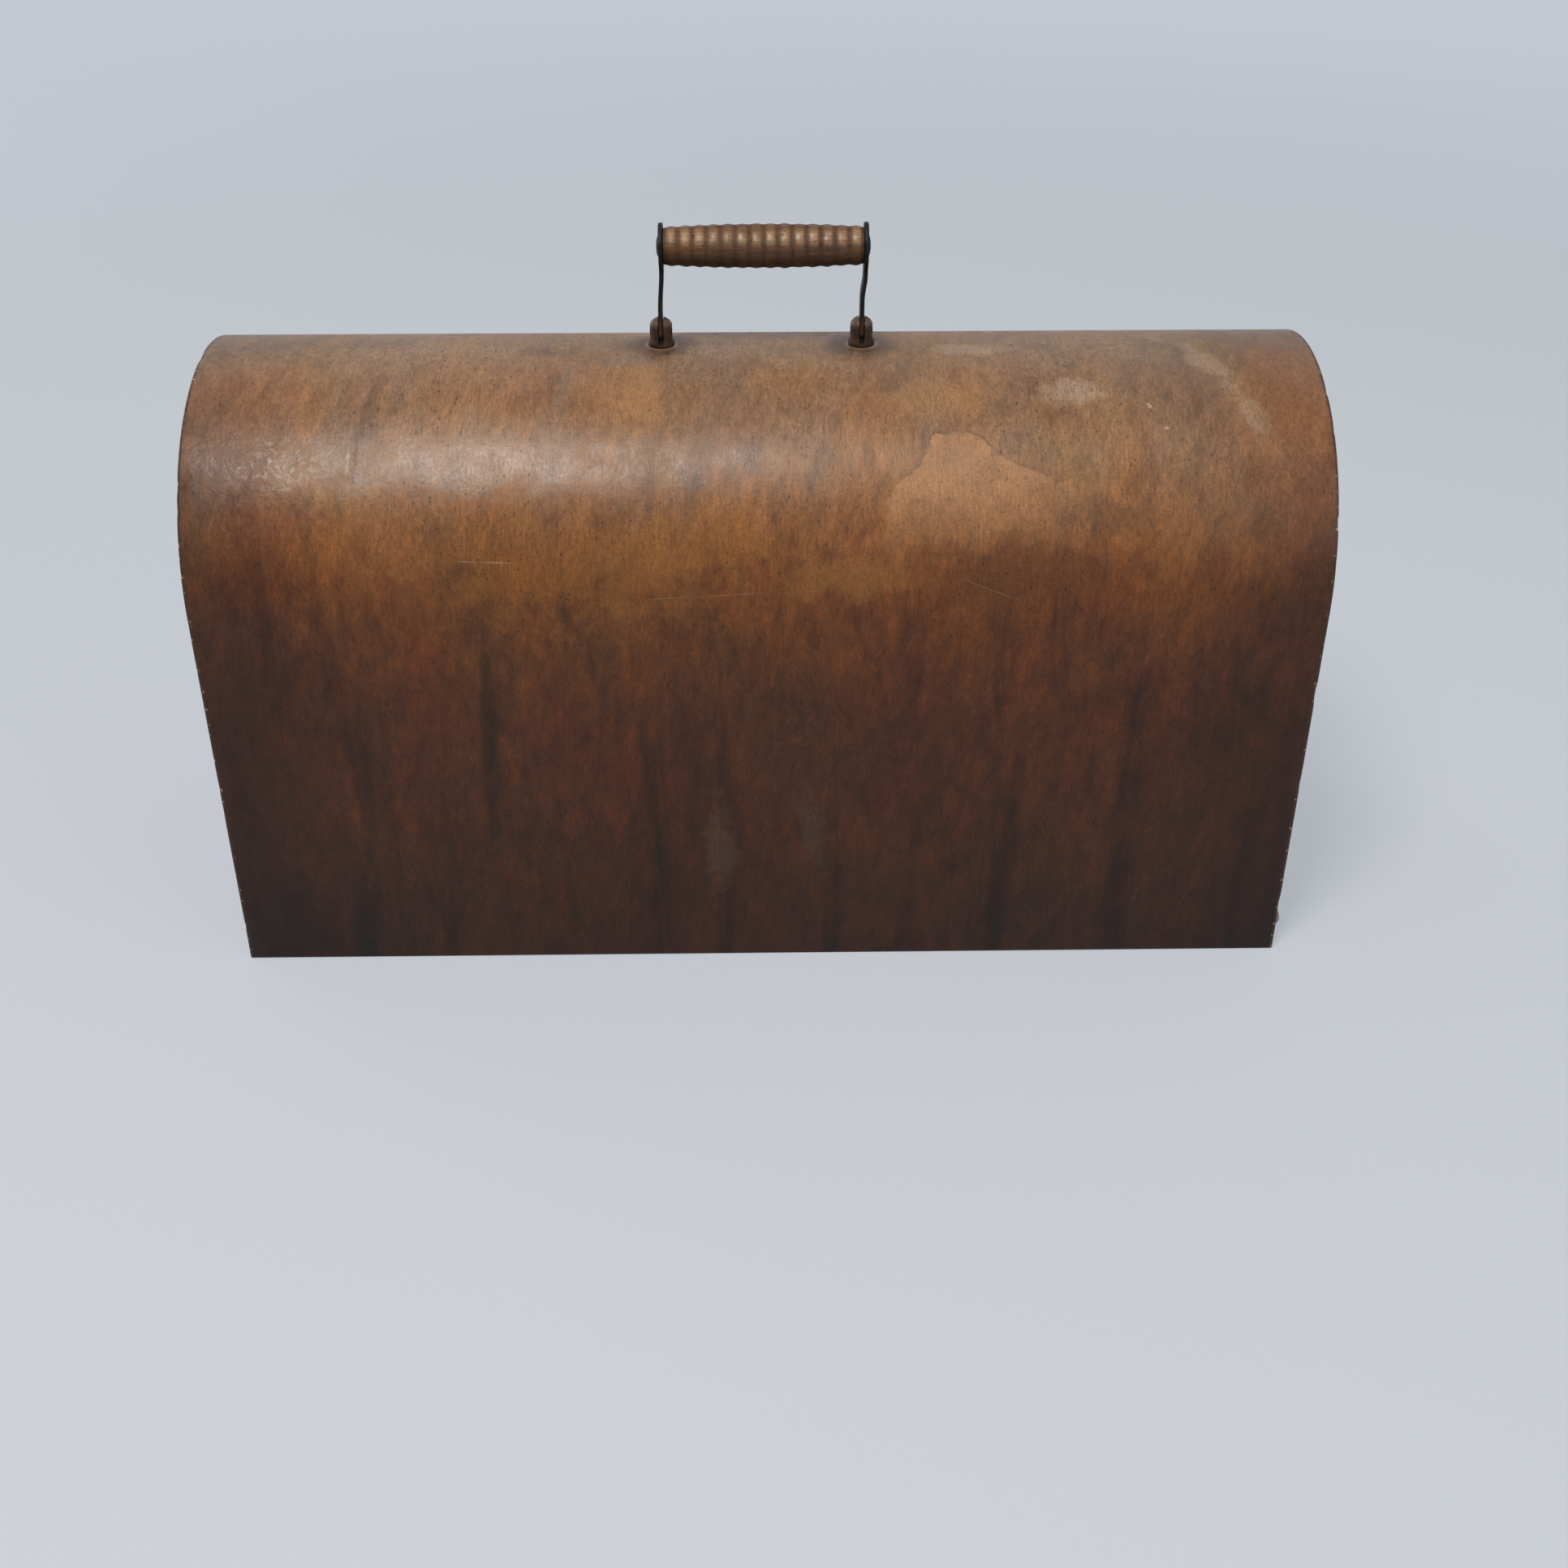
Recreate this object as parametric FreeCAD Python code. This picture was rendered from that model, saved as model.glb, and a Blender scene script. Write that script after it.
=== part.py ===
"""Domed bentwood cover of a portable sewing machine.

Millimetres, +Z up, +X towards the end that carries the two locating pegs, -Y to the front.
The origin is on the plane of the bottom edge, in the middle of the footprint, pegs included.
The pieces are drawn about the middle of the shell and moved by footprint_shift when written.
"""
import FreeCAD, Part
import math
import os

Vector = FreeCAD.Vector

# Bent shell: two straight walls, two shoulders and a slightly flatter crown
cover_length = 508.0
cover_depth = 192.0
cover_height = 279.0
shoulder_inset = 6.0
crown_half_angle = 28.5
shell_thickness = 5.5
shell_edge_chamfer = 0.6

# End panels
panel_thickness = 15.0

# Fits
glue_line = 0.1
inlay_gap = 0.15
running_gap = 0.05
side_gap = 0.3
through_gap = 0.25
overcut = 1.0

# Glue blocks in the corners between the walls and the end panels
block_leg = 13.0
block_height = 70.0
block_start = 40.0
block_nose = 2.5

# Handle posts: turned, domed and slotted, with a threaded stud below
handle_offset = 1.3
post_spacing = 92.0
post_height = 13.0
post_radius = 5.1
post_foot_radius = 6.0
post_foot_height = 1.3
post_waist_height = 3.4
post_dome_height = 3.2
stud_radius = 3.2
stud_tail = 2.0
pivot_height = 6.6
pivot_pin_radius = 2.0
pivot_pin_chamfer = 0.35

# Handle arms: flat straps with a round head that caps the grip
arm_thickness = 2.0
arm_width = 9.0
arm_head_radius = 10.2
arm_head_fillet = 6.0
arm_set = 1.2
left_set_start = 5.8
left_set_length = 27.0
right_set_start = 15.5
right_set_length = 9.7
grip_axis_height = 45.3

# Turned grip and the rod through it
bead_count = 14
bead_depth = 1.0
bead_crown_length = 3.2
grip_middle_radius = 9.9
grip_end_radius = 8.5
grip_end_collar = 0.8
grip_end_gap = 0.1
rod_radius = 3.0
rod_head_radius = 4.4
rod_head_height = 1.1
rod_head_chamfer = 0.9

# Backing strip, washers and square nuts under the crown
strip_length = 150.0
strip_width = 36.0
strip_thickness = 8.0
washer_radius = 9.0
washer_thickness = 1.5
nut_width = 11.0
nut_height = 5.0
nut_turned_face = 11.9

# Lock in the left end panel: depths are measured inwards from the panel's outer face
hook_depth = 5.5
hook_thickness = 3.0
hook_pivot_height = 20.0
hook_outer_radius = 26.0
hook_band = 4.5
hook_hub_radius = 7.0
hook_tip_angle = -38.0
hook_heel_angle = 12.0
hook_arm_root = 9.0
spindle_radius = 3.0
spindle_recess = 1.2
spindle_collar_radius = 5.0
driver_slot_width = 1.2
driver_slot_depth = 1.2
case_sheet = 1.0
case_width = 46.0
case_height = 31.0
back_plate_thickness = 1.6
back_plate_width = 64.0
back_plate_height = 39.0
back_plate_corner = 4.0
face_plate_thickness = 1.6
face_plate_width = 10.0
face_plate_length = 60.0
face_plate_corner = 4.5
face_plate_relief = 0.1
hook_slot_length = 12.4
hook_slot_play = 0.5
keyhole_radius = 4.4

# Keyhole escutcheon: an oval ring let in flush
escutcheon_height = 24.0
escutcheon_width = 16.0
escutcheon_thickness = 1.2
escutcheon_pin_radius = 0.8
escutcheon_pin_pitch = 18.0

# Locating pegs on plates let in flush in the right end panel
peg_radius = 3.5
peg_height = 7.0
peg_projection = 6.0
peg_tip_chamfer = 1.2
peg_collar_radius = 5.2
peg_collar_height = 0.6
peg_tenon_length = 8.0
peg_plate_width = 20.0
peg_plate_height = 21.0
peg_plate_thickness = 2.0
peg_plate_corner = 3.0
peg_plate_lift = 0.8
peg_plate_margin = 1.5
peg_screw_pitch = 12.0
peg_screw_height = 16.5

# Slotted countersunk wood screws
screw_head_radius = 2.6
screw_shank_radius = 1.3
screw_length = 9.0
screw_slot_width = 0.7
screw_slot_depth = 0.6
screw_gap = 0.05
screw_margin = 5.2

# Derived sizes of the arch and of the handle
half_length = cover_length / 2
half_depth = cover_depth / 2
crown_angle = math.radians(crown_half_angle)
shoulder_radius = half_depth - shoulder_inset
crown_radius = shoulder_radius + shoulder_inset / math.sin(crown_angle)
crown_centre_height = cover_height - crown_radius
wall_height = crown_centre_height + (crown_radius - shoulder_radius) * math.cos(crown_angle)
arm_length = grip_axis_height - pivot_height
pivot_z = cover_height + pivot_height
grip_z = cover_height + grip_axis_height
grip_x = handle_offset + arm_set
grip_length = post_spacing - arm_thickness - 2 * grip_end_gap
crown_inside = cover_height - shell_thickness - glue_line
footprint_shift = -peg_projection / 2
peg_reach = half_depth - shell_thickness - peg_plate_margin - peg_plate_width / 2

# Derived places in the lock, all in the frame of the shell
hook_pivot_y = -math.sqrt(hook_outer_radius ** 2 - hook_pivot_height ** 2)
hook_pivot_y += hook_slot_length / 2 - hook_slot_play - face_plate_thickness
case_depth = hook_depth - hook_thickness / 2 - side_gap - case_sheet
back_plate_depth = panel_thickness - back_plate_thickness
escutcheon_pin_length = case_depth - side_gap


def block(x_span, y_span, z_span):
    """Rectangular block between the limits given for each axis."""
    size = [high - low for low, high in (x_span, y_span, z_span)]
    return Part.makeBox(*size, Vector(x_span[0], y_span[0], z_span[0]))


def rod_x(x_span, radius, y=0.0, z=0.0):
    """Cylinder along X between the limits of x_span."""
    start = Vector(x_span[0], y, z)
    return Part.makeCylinder(radius, x_span[1] - x_span[0], start, Vector(1, 0, 0))


def rod_z(z_span, radius, x=0.0, y=0.0):
    """Cylinder along Z between the limits of z_span."""
    start = Vector(x, y, z_span[0])
    return Part.makeCylinder(radius, z_span[1] - z_span[0], start, Vector(0, 0, 1))


def revolve(edges, axis):
    """Full turn of a closed profile about an axis through the origin."""
    face = Part.Face(Part.Wire(edges))
    return face.revolve(Vector(0, 0, 0), axis, 360)


def polyline(points):
    """Straight edges through the points."""
    return [Part.LineSegment(a, b).toShape() for a, b in zip(points, points[1:])]


def arc(start, middle, end):
    """Circular edge through three points."""
    return Part.Arc(start, middle, end).toShape()


def cap_middle(radius, height):
    """Rise and radius of the point half way along the profile of a spherical cap."""
    sphere = (radius ** 2 + height ** 2) / (2 * height)
    spread = math.asin(radius / sphere) / 2
    return height - sphere * (1 - math.cos(spread)), sphere * math.sin(spread)


def moved(shape, x=0.0, y=0.0, z=0.0):
    """Copy of a shape shifted by the given amounts."""
    copy = shape.copy()
    copy.translate(Vector(x, y, z))
    return copy


def edges_where(shape, test):
    """Edges of a shape whose middle point and box pass a test."""
    return [edge for edge in shape.Edges if test(edge.CenterOfMass, edge.BoundBox)]


def left_x(depth):
    """X of a plane that lies so far in from the outer face of the left end."""
    return depth - half_length


def right_x(depth):
    """X of a plane that lies so far in from the outer face of the right end."""
    return half_length - depth


def arch_solid(inset, x_span, bottom=0.0):
    """Solid of the arch's outline, drawn inset from the outside of the shell."""
    side = half_depth - inset
    crown = crown_radius - inset
    tangent_y = crown * math.sin(crown_angle)
    tangent_z = crown_centre_height + crown * math.cos(crown_angle)
    middle = (math.pi / 2 - crown_angle) / 2
    shoulder_y = shoulder_inset + (shoulder_radius - inset) * math.cos(middle)
    shoulder_z = wall_height + (shoulder_radius - inset) * math.sin(middle)
    x = x_span[0]
    foot_front = Vector(x, -side, bottom)
    spring_front = Vector(x, -side, wall_height)
    tangent_front = Vector(x, -tangent_y, tangent_z)
    tangent_rear = Vector(x, tangent_y, tangent_z)
    spring_rear = Vector(x, side, wall_height)
    foot_rear = Vector(x, side, bottom)
    edges = polyline([foot_front, spring_front])
    edges.append(arc(spring_front, Vector(x, -shoulder_y, shoulder_z), tangent_front))
    edges.append(arc(tangent_front, Vector(x, 0, crown_centre_height + crown), tangent_rear))
    edges.append(arc(tangent_rear, Vector(x, shoulder_y, shoulder_z), spring_rear))
    edges += polyline([spring_rear, foot_rear, foot_front])
    face = Part.Face(Part.Wire(edges))
    return face.extrude(Vector(x_span[1] - x_span[0], 0, 0))


def rounded_plate(x_span, y_span, z_span, corner):
    """Plate that faces along X, with its four corners rounded."""
    plate = block(x_span, y_span, z_span)
    thickness = x_span[1] - x_span[0]
    corners = edges_where(plate, lambda centre, box: abs(box.XLength - thickness) < 1e-6)
    return plate.makeFillet(corner, corners)


def wood_screw():
    """Slotted countersunk screw with its head's face at the origin and its end along -Z."""
    head_height = screw_head_radius - screw_shank_radius
    edges = polyline([
        Vector(0, 0, 0),
        Vector(screw_head_radius, 0, 0),
        Vector(screw_shank_radius, 0, -head_height),
        Vector(screw_shank_radius, 0, -screw_length),
        Vector(0, 0, -screw_length),
        Vector(0, 0, 0),
    ])
    body = revolve(edges, Vector(0, 0, 1))
    reach = screw_head_radius + overcut
    half_slot = screw_slot_width / 2
    slot = block((-reach, reach), (-half_slot, half_slot), (-screw_slot_depth, overcut))
    return body.cut(slot)


def screw_pocket():
    """Space that a wood screw takes up, with its fitting gap."""
    head_height = screw_head_radius - screw_shank_radius
    wide = screw_head_radius + screw_gap
    narrow = screw_shank_radius + screw_gap
    edges = polyline([
        Vector(0, 0, overcut),
        Vector(wide, 0, overcut),
        Vector(wide, 0, 0),
        Vector(narrow, 0, -head_height),
        Vector(narrow, 0, -screw_length - screw_gap),
        Vector(0, 0, -screw_length - screw_gap),
        Vector(0, 0, overcut),
    ])
    return revolve(edges, Vector(0, 0, 1))


def aimed(shape, place, direction):
    """Copy of a shape drawn along +Z, turned to a direction and set at a place."""
    turn = FreeCAD.Rotation(Vector(0, 0, 1), direction)
    copy = shape.copy()
    copy.Placement = FreeCAD.Placement(place, turn)
    return copy


def screw_group(places, direction):
    """One group of equal screws, their heads at the places and facing the direction."""
    return Part.Compound([aimed(wood_screw(), place, direction) for place in places])


def cut_screw_pockets(shape, places, direction):
    """A shape with the room for its screws taken out."""
    for place in places:
        shape = shape.cut(aimed(screw_pocket(), place, direction))
    return shape


# --- Where the posts, screws and pegs are -------------------------------------------------

def post_places():
    """X of the left and of the right handle post."""
    return [handle_offset - post_spacing / 2, handle_offset + post_spacing / 2]


def peg_places():
    """Y of the front and of the rear locating peg."""
    return [-peg_reach, peg_reach]


def peg_screw_places(peg_y):
    """Heads of the two screws of one peg plate."""
    x = right_x(0)
    sides = [peg_y - peg_screw_pitch / 2, peg_y + peg_screw_pitch / 2]
    return [Vector(x, y, peg_screw_height) for y in sides]


def back_plate_screw_places():
    """Heads of the four screws that hold the lock's back plate."""
    x = left_x(panel_thickness)
    reach = back_plate_width / 2 - screw_margin
    low = face_plate_relief + face_plate_thickness + screw_margin
    heights = [low, back_plate_height - screw_margin]
    return [Vector(x, side * reach, z) for side in (-1, 1) for z in heights]


def face_plate_screw_places():
    """Heads of the two screws in the plate on the bottom edge."""
    x = left_x(hook_depth)
    reach = (face_plate_length + case_width) / 4
    return [Vector(x, side * reach, face_plate_relief) for side in (-1, 1)]


# --- Wooden body --------------------------------------------------------------------------

def bent_shell():
    """Bent plywood arch, open below and at both ends, with the two stud holes."""
    span = (-half_length, half_length)
    outer = arch_solid(0.0, span)
    ends = edges_where(outer, lambda centre, box: box.XLength < 1e-6 and centre.z > overcut)
    outer = outer.makeChamfer(shell_edge_chamfer, ends)
    cut_span = (-half_length - overcut, half_length + overcut)
    shell = outer.cut(arch_solid(shell_thickness, cut_span, -overcut))
    for x in post_places():
        hole_span = (crown_inside - shell_thickness, cover_height + overcut)
        shell = shell.cut(rod_z(hole_span, stud_radius + through_gap, x))
    return shell


def left_end_panel():
    """Left end board with the mortise of the lock, its plate recesses and the keyhole."""
    panel = arch_solid(shell_thickness + glue_line, (left_x(0), left_x(panel_thickness)))
    inner = left_x(panel_thickness) + overcut
    half_case = case_width / 2 + inlay_gap
    mortise_start = left_x(case_depth - inlay_gap)
    mortise = block((mortise_start, inner), (-half_case, half_case), (-overcut, case_height + inlay_gap))
    half_back = back_plate_width / 2 + inlay_gap
    back_recess = block(
        (left_x(back_plate_depth - inlay_gap), inner),
        (-half_back, half_back),
        (-overcut, back_plate_height + inlay_gap),
    )
    half_face = face_plate_length / 2 + inlay_gap
    half_wide = face_plate_width / 2 + inlay_gap
    face_recess = block(
        (left_x(hook_depth - half_wide), left_x(hook_depth + half_wide)),
        (-half_face, half_face),
        (-overcut, face_plate_relief + face_plate_thickness + inlay_gap),
    )
    keyhole_span = (left_x(-overcut), left_x(hook_depth))
    keyhole = rod_x(keyhole_span, keyhole_radius, hook_pivot_y, hook_pivot_height)
    oval = escutcheon_blank(inlay_gap, (left_x(-overcut), left_x(escutcheon_thickness + inlay_gap)))
    panel = panel.cut(mortise).cut(back_recess).cut(face_recess).cut(keyhole).cut(oval)
    panel = cut_screw_pockets(panel, back_plate_screw_places(), Vector(1, 0, 0))
    panel = cut_screw_pockets(panel, face_plate_screw_places(), Vector(0, 0, -1))
    for place in escutcheon_pin_places():
        length = escutcheon_pin_length + screw_gap
        hole_span = (left_x(0), left_x(length))
        panel = panel.cut(rod_x(hole_span, escutcheon_pin_radius + screw_gap, place.y, place.z))
    return panel


def right_end_panel():
    """Right end board with the recesses of the two peg plates."""
    panel = arch_solid(shell_thickness + glue_line, (right_x(panel_thickness), right_x(0)))
    for peg_y in peg_places():
        half_plate = peg_plate_width / 2 + inlay_gap
        recess = rounded_plate(
            (right_x(peg_plate_thickness + inlay_gap), right_x(-overcut)),
            (peg_y - half_plate, peg_y + half_plate),
            (peg_plate_lift - inlay_gap, peg_plate_lift + peg_plate_height + inlay_gap),
            peg_plate_corner,
        )
        tenon_end = peg_plate_thickness + peg_tenon_length + inlay_gap
        tenon_hole = rod_x((right_x(tenon_end), right_x(0)), peg_radius + inlay_gap, peg_y, peg_height)
        panel = panel.cut(recess).cut(tenon_hole)
        panel = cut_screw_pockets(panel, peg_screw_places(peg_y), Vector(1, 0, 0))
    return panel


def glue_block(side_x, side_y):
    """Three-sided wooden block in one corner, with its long edge planed off."""
    wall = half_depth - shell_thickness - glue_line
    face = half_length - panel_thickness - glue_line
    nose = block_nose
    outline = [
        (face, wall),
        (face - block_leg, wall),
        (face - block_leg, wall - nose),
        (face - nose, wall - block_leg),
        (face, wall - block_leg),
        (face, wall),
    ]
    points = [Vector(side_x * x, side_y * y, block_start) for x, y in outline]
    foot = Part.Face(Part.Wire(polyline(points)))
    return foot.extrude(Vector(0, 0, block_height))


def glue_blocks(side_x):
    """The front and the rear glue block of one end."""
    return Part.Compound([glue_block(side_x, side_y) for side_y in (-1, 1)])


def handle_backing_strip():
    """Wooden strip under the crown, shaped to the arch, that the handle's studs pass through."""
    reach = strip_length / 2
    inside = arch_solid(shell_thickness + glue_line, (handle_offset - reach, handle_offset + reach))
    low = crown_inside - strip_thickness
    blank = block(
        (handle_offset - reach, handle_offset + reach),
        (-strip_width / 2, strip_width / 2),
        (low, cover_height),
    )
    strip = blank.common(inside)
    for x in post_places():
        strip = strip.cut(rod_z((low - overcut, cover_height), stud_radius + through_gap, x))
    return strip


# --- Handle -------------------------------------------------------------------------------

def handle_post(x):
    """Turned post with a domed top, a slot for the arm, a cross hole and a stud below."""
    foot = cover_height
    top = foot + post_height
    dome = top - post_dome_height
    waist = foot + post_waist_height
    washer_face = crown_inside - strip_thickness - washer_thickness
    stud_end = washer_face - nut_height - stud_tail
    rise, dome_radius = cap_middle(post_radius, post_dome_height)
    edges = polyline([
        Vector(0, 0, stud_end),
        Vector(stud_radius, 0, stud_end),
        Vector(stud_radius, 0, foot),
        Vector(post_foot_radius, 0, foot),
        Vector(post_foot_radius, 0, foot + post_foot_height),
        Vector(post_radius, 0, waist),
        Vector(post_radius, 0, dome),
    ])
    edges.append(arc(Vector(post_radius, 0, dome), Vector(dome_radius, 0, dome + rise), Vector(0, 0, top)))
    edges += polyline([Vector(0, 0, top), Vector(0, 0, stud_end)])
    post = revolve(edges, Vector(0, 0, 1))
    half_slot = arm_thickness / 2 + side_gap
    slot_floor = pivot_z - arm_width / 2 - 2 * side_gap
    reach = post_foot_radius + overcut
    slot = block((-half_slot, half_slot), (-reach, reach), (slot_floor, top + overcut))
    cross_hole = rod_x((-reach, reach), pivot_pin_radius + running_gap, 0.0, pivot_z)
    return moved(post.cut(slot).cut(cross_hole), x)


def chamfered_bar(half, radius, chamfer):
    """Round bar along X through the origin, its two ends chamfered."""
    bar = rod_x((-half, half), radius)
    ends = edges_where(bar, lambda centre, box: box.XLength < 1e-6)
    return bar.makeChamfer(chamfer, ends)


def pivot_pin(x):
    """Pin through the post and the arm, its chamfered ends level with the post."""
    return moved(chamfered_bar(post_radius, pivot_pin_radius, pivot_pin_chamfer), x, 0.0, pivot_z)


def arm_outline():
    """Plate of an arm seen from the side: eye, strap and round head, about the pivot."""
    reach = arm_thickness + 2 * arm_set
    half = arm_width / 2
    strap = block((-reach, reach), (-half, half), (0.0, arm_length))
    eye = rod_x((-reach, reach), half)
    head = rod_x((-reach, reach), arm_head_radius, 0.0, arm_length)
    plate = strap.fuse([eye, head]).removeSplitter()
    drop = math.sqrt(arm_head_radius ** 2 - half ** 2)
    corner_z = arm_length - drop
    corners = edges_where(
        plate,
        lambda centre, box: abs(centre.z - corner_z) < 1e-3 and box.YLength < 1e-3,
    )
    return plate.makeFillet(arm_head_fillet, corners)


def arm_ribbon(start, length):
    """Sheet of an arm seen from the front: straight, then set over to the right."""
    half = arm_thickness / 2
    low = -arm_head_radius
    high = arm_length + 2 * arm_head_radius
    middle = start + length / 2
    end = start + length

    def sweep(x):
        shifted = x + arm_set
        return [Vector(x, 0, start), Vector(x, 0, middle), Vector(shifted, 0, middle), Vector(shifted, 0, end)]

    rising = Part.BezierCurve()
    rising.setPoles(sweep(-half))
    falling = Part.BezierCurve()
    falling.setPoles(list(reversed(sweep(half))))
    edges = polyline([Vector(-half, 0, low), Vector(-half, 0, start)])
    edges.append(rising.toShape())
    edges += polyline([
        Vector(arm_set - half, 0, end),
        Vector(arm_set - half, 0, high),
        Vector(arm_set + half, 0, high),
        Vector(arm_set + half, 0, end),
    ])
    edges.append(falling.toShape())
    edges += polyline([Vector(half, 0, start), Vector(half, 0, low), Vector(-half, 0, low)])
    face = Part.Face(Part.Wire(edges))
    face.translate(Vector(0, -2 * arm_head_radius, 0))
    return face.extrude(Vector(0, 4 * arm_head_radius, 0))


def handle_arm(x, start, length):
    """Flat iron arm, pierced for the pivot pin and for the rod of the grip."""
    arm = arm_outline().common(arm_ribbon(start, length))
    reach = arm_thickness + 2 * arm_set
    arm = arm.cut(rod_x((-reach, reach), pivot_pin_radius + running_gap))
    arm = arm.cut(rod_x((-reach, reach), rod_radius + running_gap, 0.0, arm_length))
    return moved(arm, x, 0.0, pivot_z)


def grip_envelope(x):
    """Radius over the beads at a place along the grip: a barrel, thickest in the middle."""
    share = 2 * x / grip_length
    return grip_middle_radius - (grip_middle_radius - grip_end_radius) * share ** 2


def handle_grip():
    """Turned wooden grip: a row of beads, two flanks and a crown each, under a barrel outline."""
    half = grip_length / 2
    first = -half + grip_end_collar
    pitch = (grip_length - 2 * grip_end_collar) / bead_count
    bore = rod_radius + through_gap
    outline = []
    for index in range(bead_count + 1):
        groove = first + pitch * index
        outline.append(Vector(groove, 0, grip_envelope(groove) - bead_depth))
        if index < bead_count:
            crown = groove + pitch / 2
            for x in (crown - bead_crown_length / 2, crown + bead_crown_length / 2):
                outline.append(Vector(x, 0, grip_envelope(x)))
    start = Vector(-half, 0, outline[0].z)
    end = Vector(half, 0, outline[-1].z)
    corners = [Vector(-half, 0, bore), start] + outline + [end, Vector(half, 0, bore), Vector(-half, 0, bore)]
    return moved(revolve(polyline(corners), Vector(1, 0, 0)), grip_x, 0.0, grip_z)


def grip_rod():
    """Iron rod through the grip and both arms, with its two ends peened over."""
    half = (post_spacing + arm_thickness) / 2
    head = chamfered_bar(half + rod_head_height, rod_head_radius, rod_head_chamfer)
    neck = rod_x((-half, half), rod_head_radius + overcut)
    neck = neck.cut(rod_x((-half, half), rod_radius))
    return moved(head.cut(neck), grip_x, 0.0, grip_z)


def post_washers():
    """Round washers on the studs, under the backing strip."""
    top = crown_inside - strip_thickness
    span = (top - washer_thickness, top)
    rings = []
    for x in post_places():
        ring = rod_z(span, washer_radius, x)
        rings.append(ring.cut(rod_z(span, stud_radius + through_gap, x)))
    return Part.Compound(rings)


def post_nuts():
    """Square nuts on the studs, with their lower corners turned off."""
    top = crown_inside - strip_thickness - washer_thickness
    half = nut_width / 2
    nuts = []
    for x in post_places():
        nut = block((x - half, x + half), (-half, half), (top - nut_height, top))
        foot = Vector(x, 0, top - nut_height)
        cone = Part.makeCone(nut_turned_face / 2, nut_turned_face / 2 + nut_height, nut_height, foot)
        nut = nut.common(cone)
        nuts.append(nut.cut(rod_z((top - nut_height, top), stud_radius + running_gap, x)))
    return Part.Compound(nuts)


# --- Lock in the left end -----------------------------------------------------------------

def sector(inner, outer, angles, x_span):
    """Part of a flat ring about the X axis, between two angles measured from +Y to +Z."""
    low, high = [math.radians(angle) for angle in angles]
    middle = (low + high) / 2
    x = x_span[0]

    def point(radius, angle):
        return Vector(x, radius * math.cos(angle), radius * math.sin(angle))

    edges = [arc(point(outer, low), point(outer, middle), point(outer, high))]
    edges += polyline([point(outer, high), point(inner, high)])
    edges.append(arc(point(inner, high), point(inner, middle), point(inner, low)))
    edges += polyline([point(inner, low), point(outer, low)])
    face = Part.Face(Part.Wire(edges))
    return face.extrude(Vector(x_span[1] - x_span[0], 0, 0))


def lock_hook():
    """Swinging hook: a hub on the spindle, an arm and a beak that follows a circle."""
    start = left_x(hook_depth - hook_thickness / 2)
    span = (start, start + hook_thickness)
    inner = hook_outer_radius - hook_band
    hub = rod_x(span, hook_hub_radius)
    beak = sector(inner, hook_outer_radius, (hook_tip_angle, hook_heel_angle), span)
    heel = math.radians(hook_heel_angle)
    root = math.radians(hook_heel_angle - 2 * hook_arm_root)
    quarter = math.pi / 2
    polar = [
        (hook_hub_radius, heel + quarter),
        (hook_outer_radius, heel),
        (inner, root),
        (hook_hub_radius, root - quarter),
    ]
    corners = [Vector(start, radius * math.cos(angle), radius * math.sin(angle)) for radius, angle in polar]
    corners.append(corners[0])
    arm = Part.Face(Part.Wire(polyline(corners))).extrude(Vector(hook_thickness, 0, 0))
    hook = hub.fuse([beak, arm]).removeSplitter()
    hook = hook.cut(rod_x(span, spindle_radius + running_gap / 2))
    return moved(hook, 0.0, hook_pivot_y, hook_pivot_height)


def lock_spindle():
    """Slotted spindle that carries the hook, from the keyhole to the back plate."""
    tip = left_x(spindle_recess)
    collar_start = left_x(hook_depth + hook_thickness / 2 + running_gap)
    collar_end = left_x(back_plate_depth - side_gap)
    spindle = rod_x((tip, left_x(panel_thickness - side_gap)), spindle_radius)
    collar = rod_x((collar_start, collar_end), spindle_collar_radius)
    spindle = spindle.fuse(collar).removeSplitter()
    half = driver_slot_width / 2
    reach = spindle_radius + overcut
    slot = block((tip - overcut, tip + driver_slot_depth), (-half, half), (-reach, reach))
    return moved(spindle.cut(slot), 0.0, hook_pivot_y, hook_pivot_height)


def lock_case():
    """Pressed steel box of the lock, open to the back plate and to the bottom edge."""
    start = left_x(case_depth)
    end = left_x(back_plate_depth)
    half = case_width / 2
    low = face_plate_relief + face_plate_thickness
    outside = block((start, end), (-half, half), (low, case_height))
    inner = half - case_sheet
    inside = block(
        (start + case_sheet, end + overcut),
        (-inner, inner),
        (low - overcut, case_height - case_sheet),
    )
    span = (start - overcut, start + 2 * case_sheet)
    hole = rod_x(span, spindle_radius + running_gap, hook_pivot_y, hook_pivot_height)
    return outside.cut(inside).cut(hole)


def lock_back_plate():
    """Screwed plate that closes the lock, flush with the inner face of the end panel."""
    span = (left_x(back_plate_depth), left_x(panel_thickness))
    half = back_plate_width / 2
    low = face_plate_relief + face_plate_thickness
    plate = rounded_plate(span, (-half, half), (low, back_plate_height), back_plate_corner)
    bore_span = (span[0] - overcut, span[1] + overcut)
    plate = plate.cut(rod_x(bore_span, spindle_radius + running_gap, hook_pivot_y, hook_pivot_height))
    return cut_screw_pockets(plate, back_plate_screw_places(), Vector(1, 0, 0))


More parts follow.
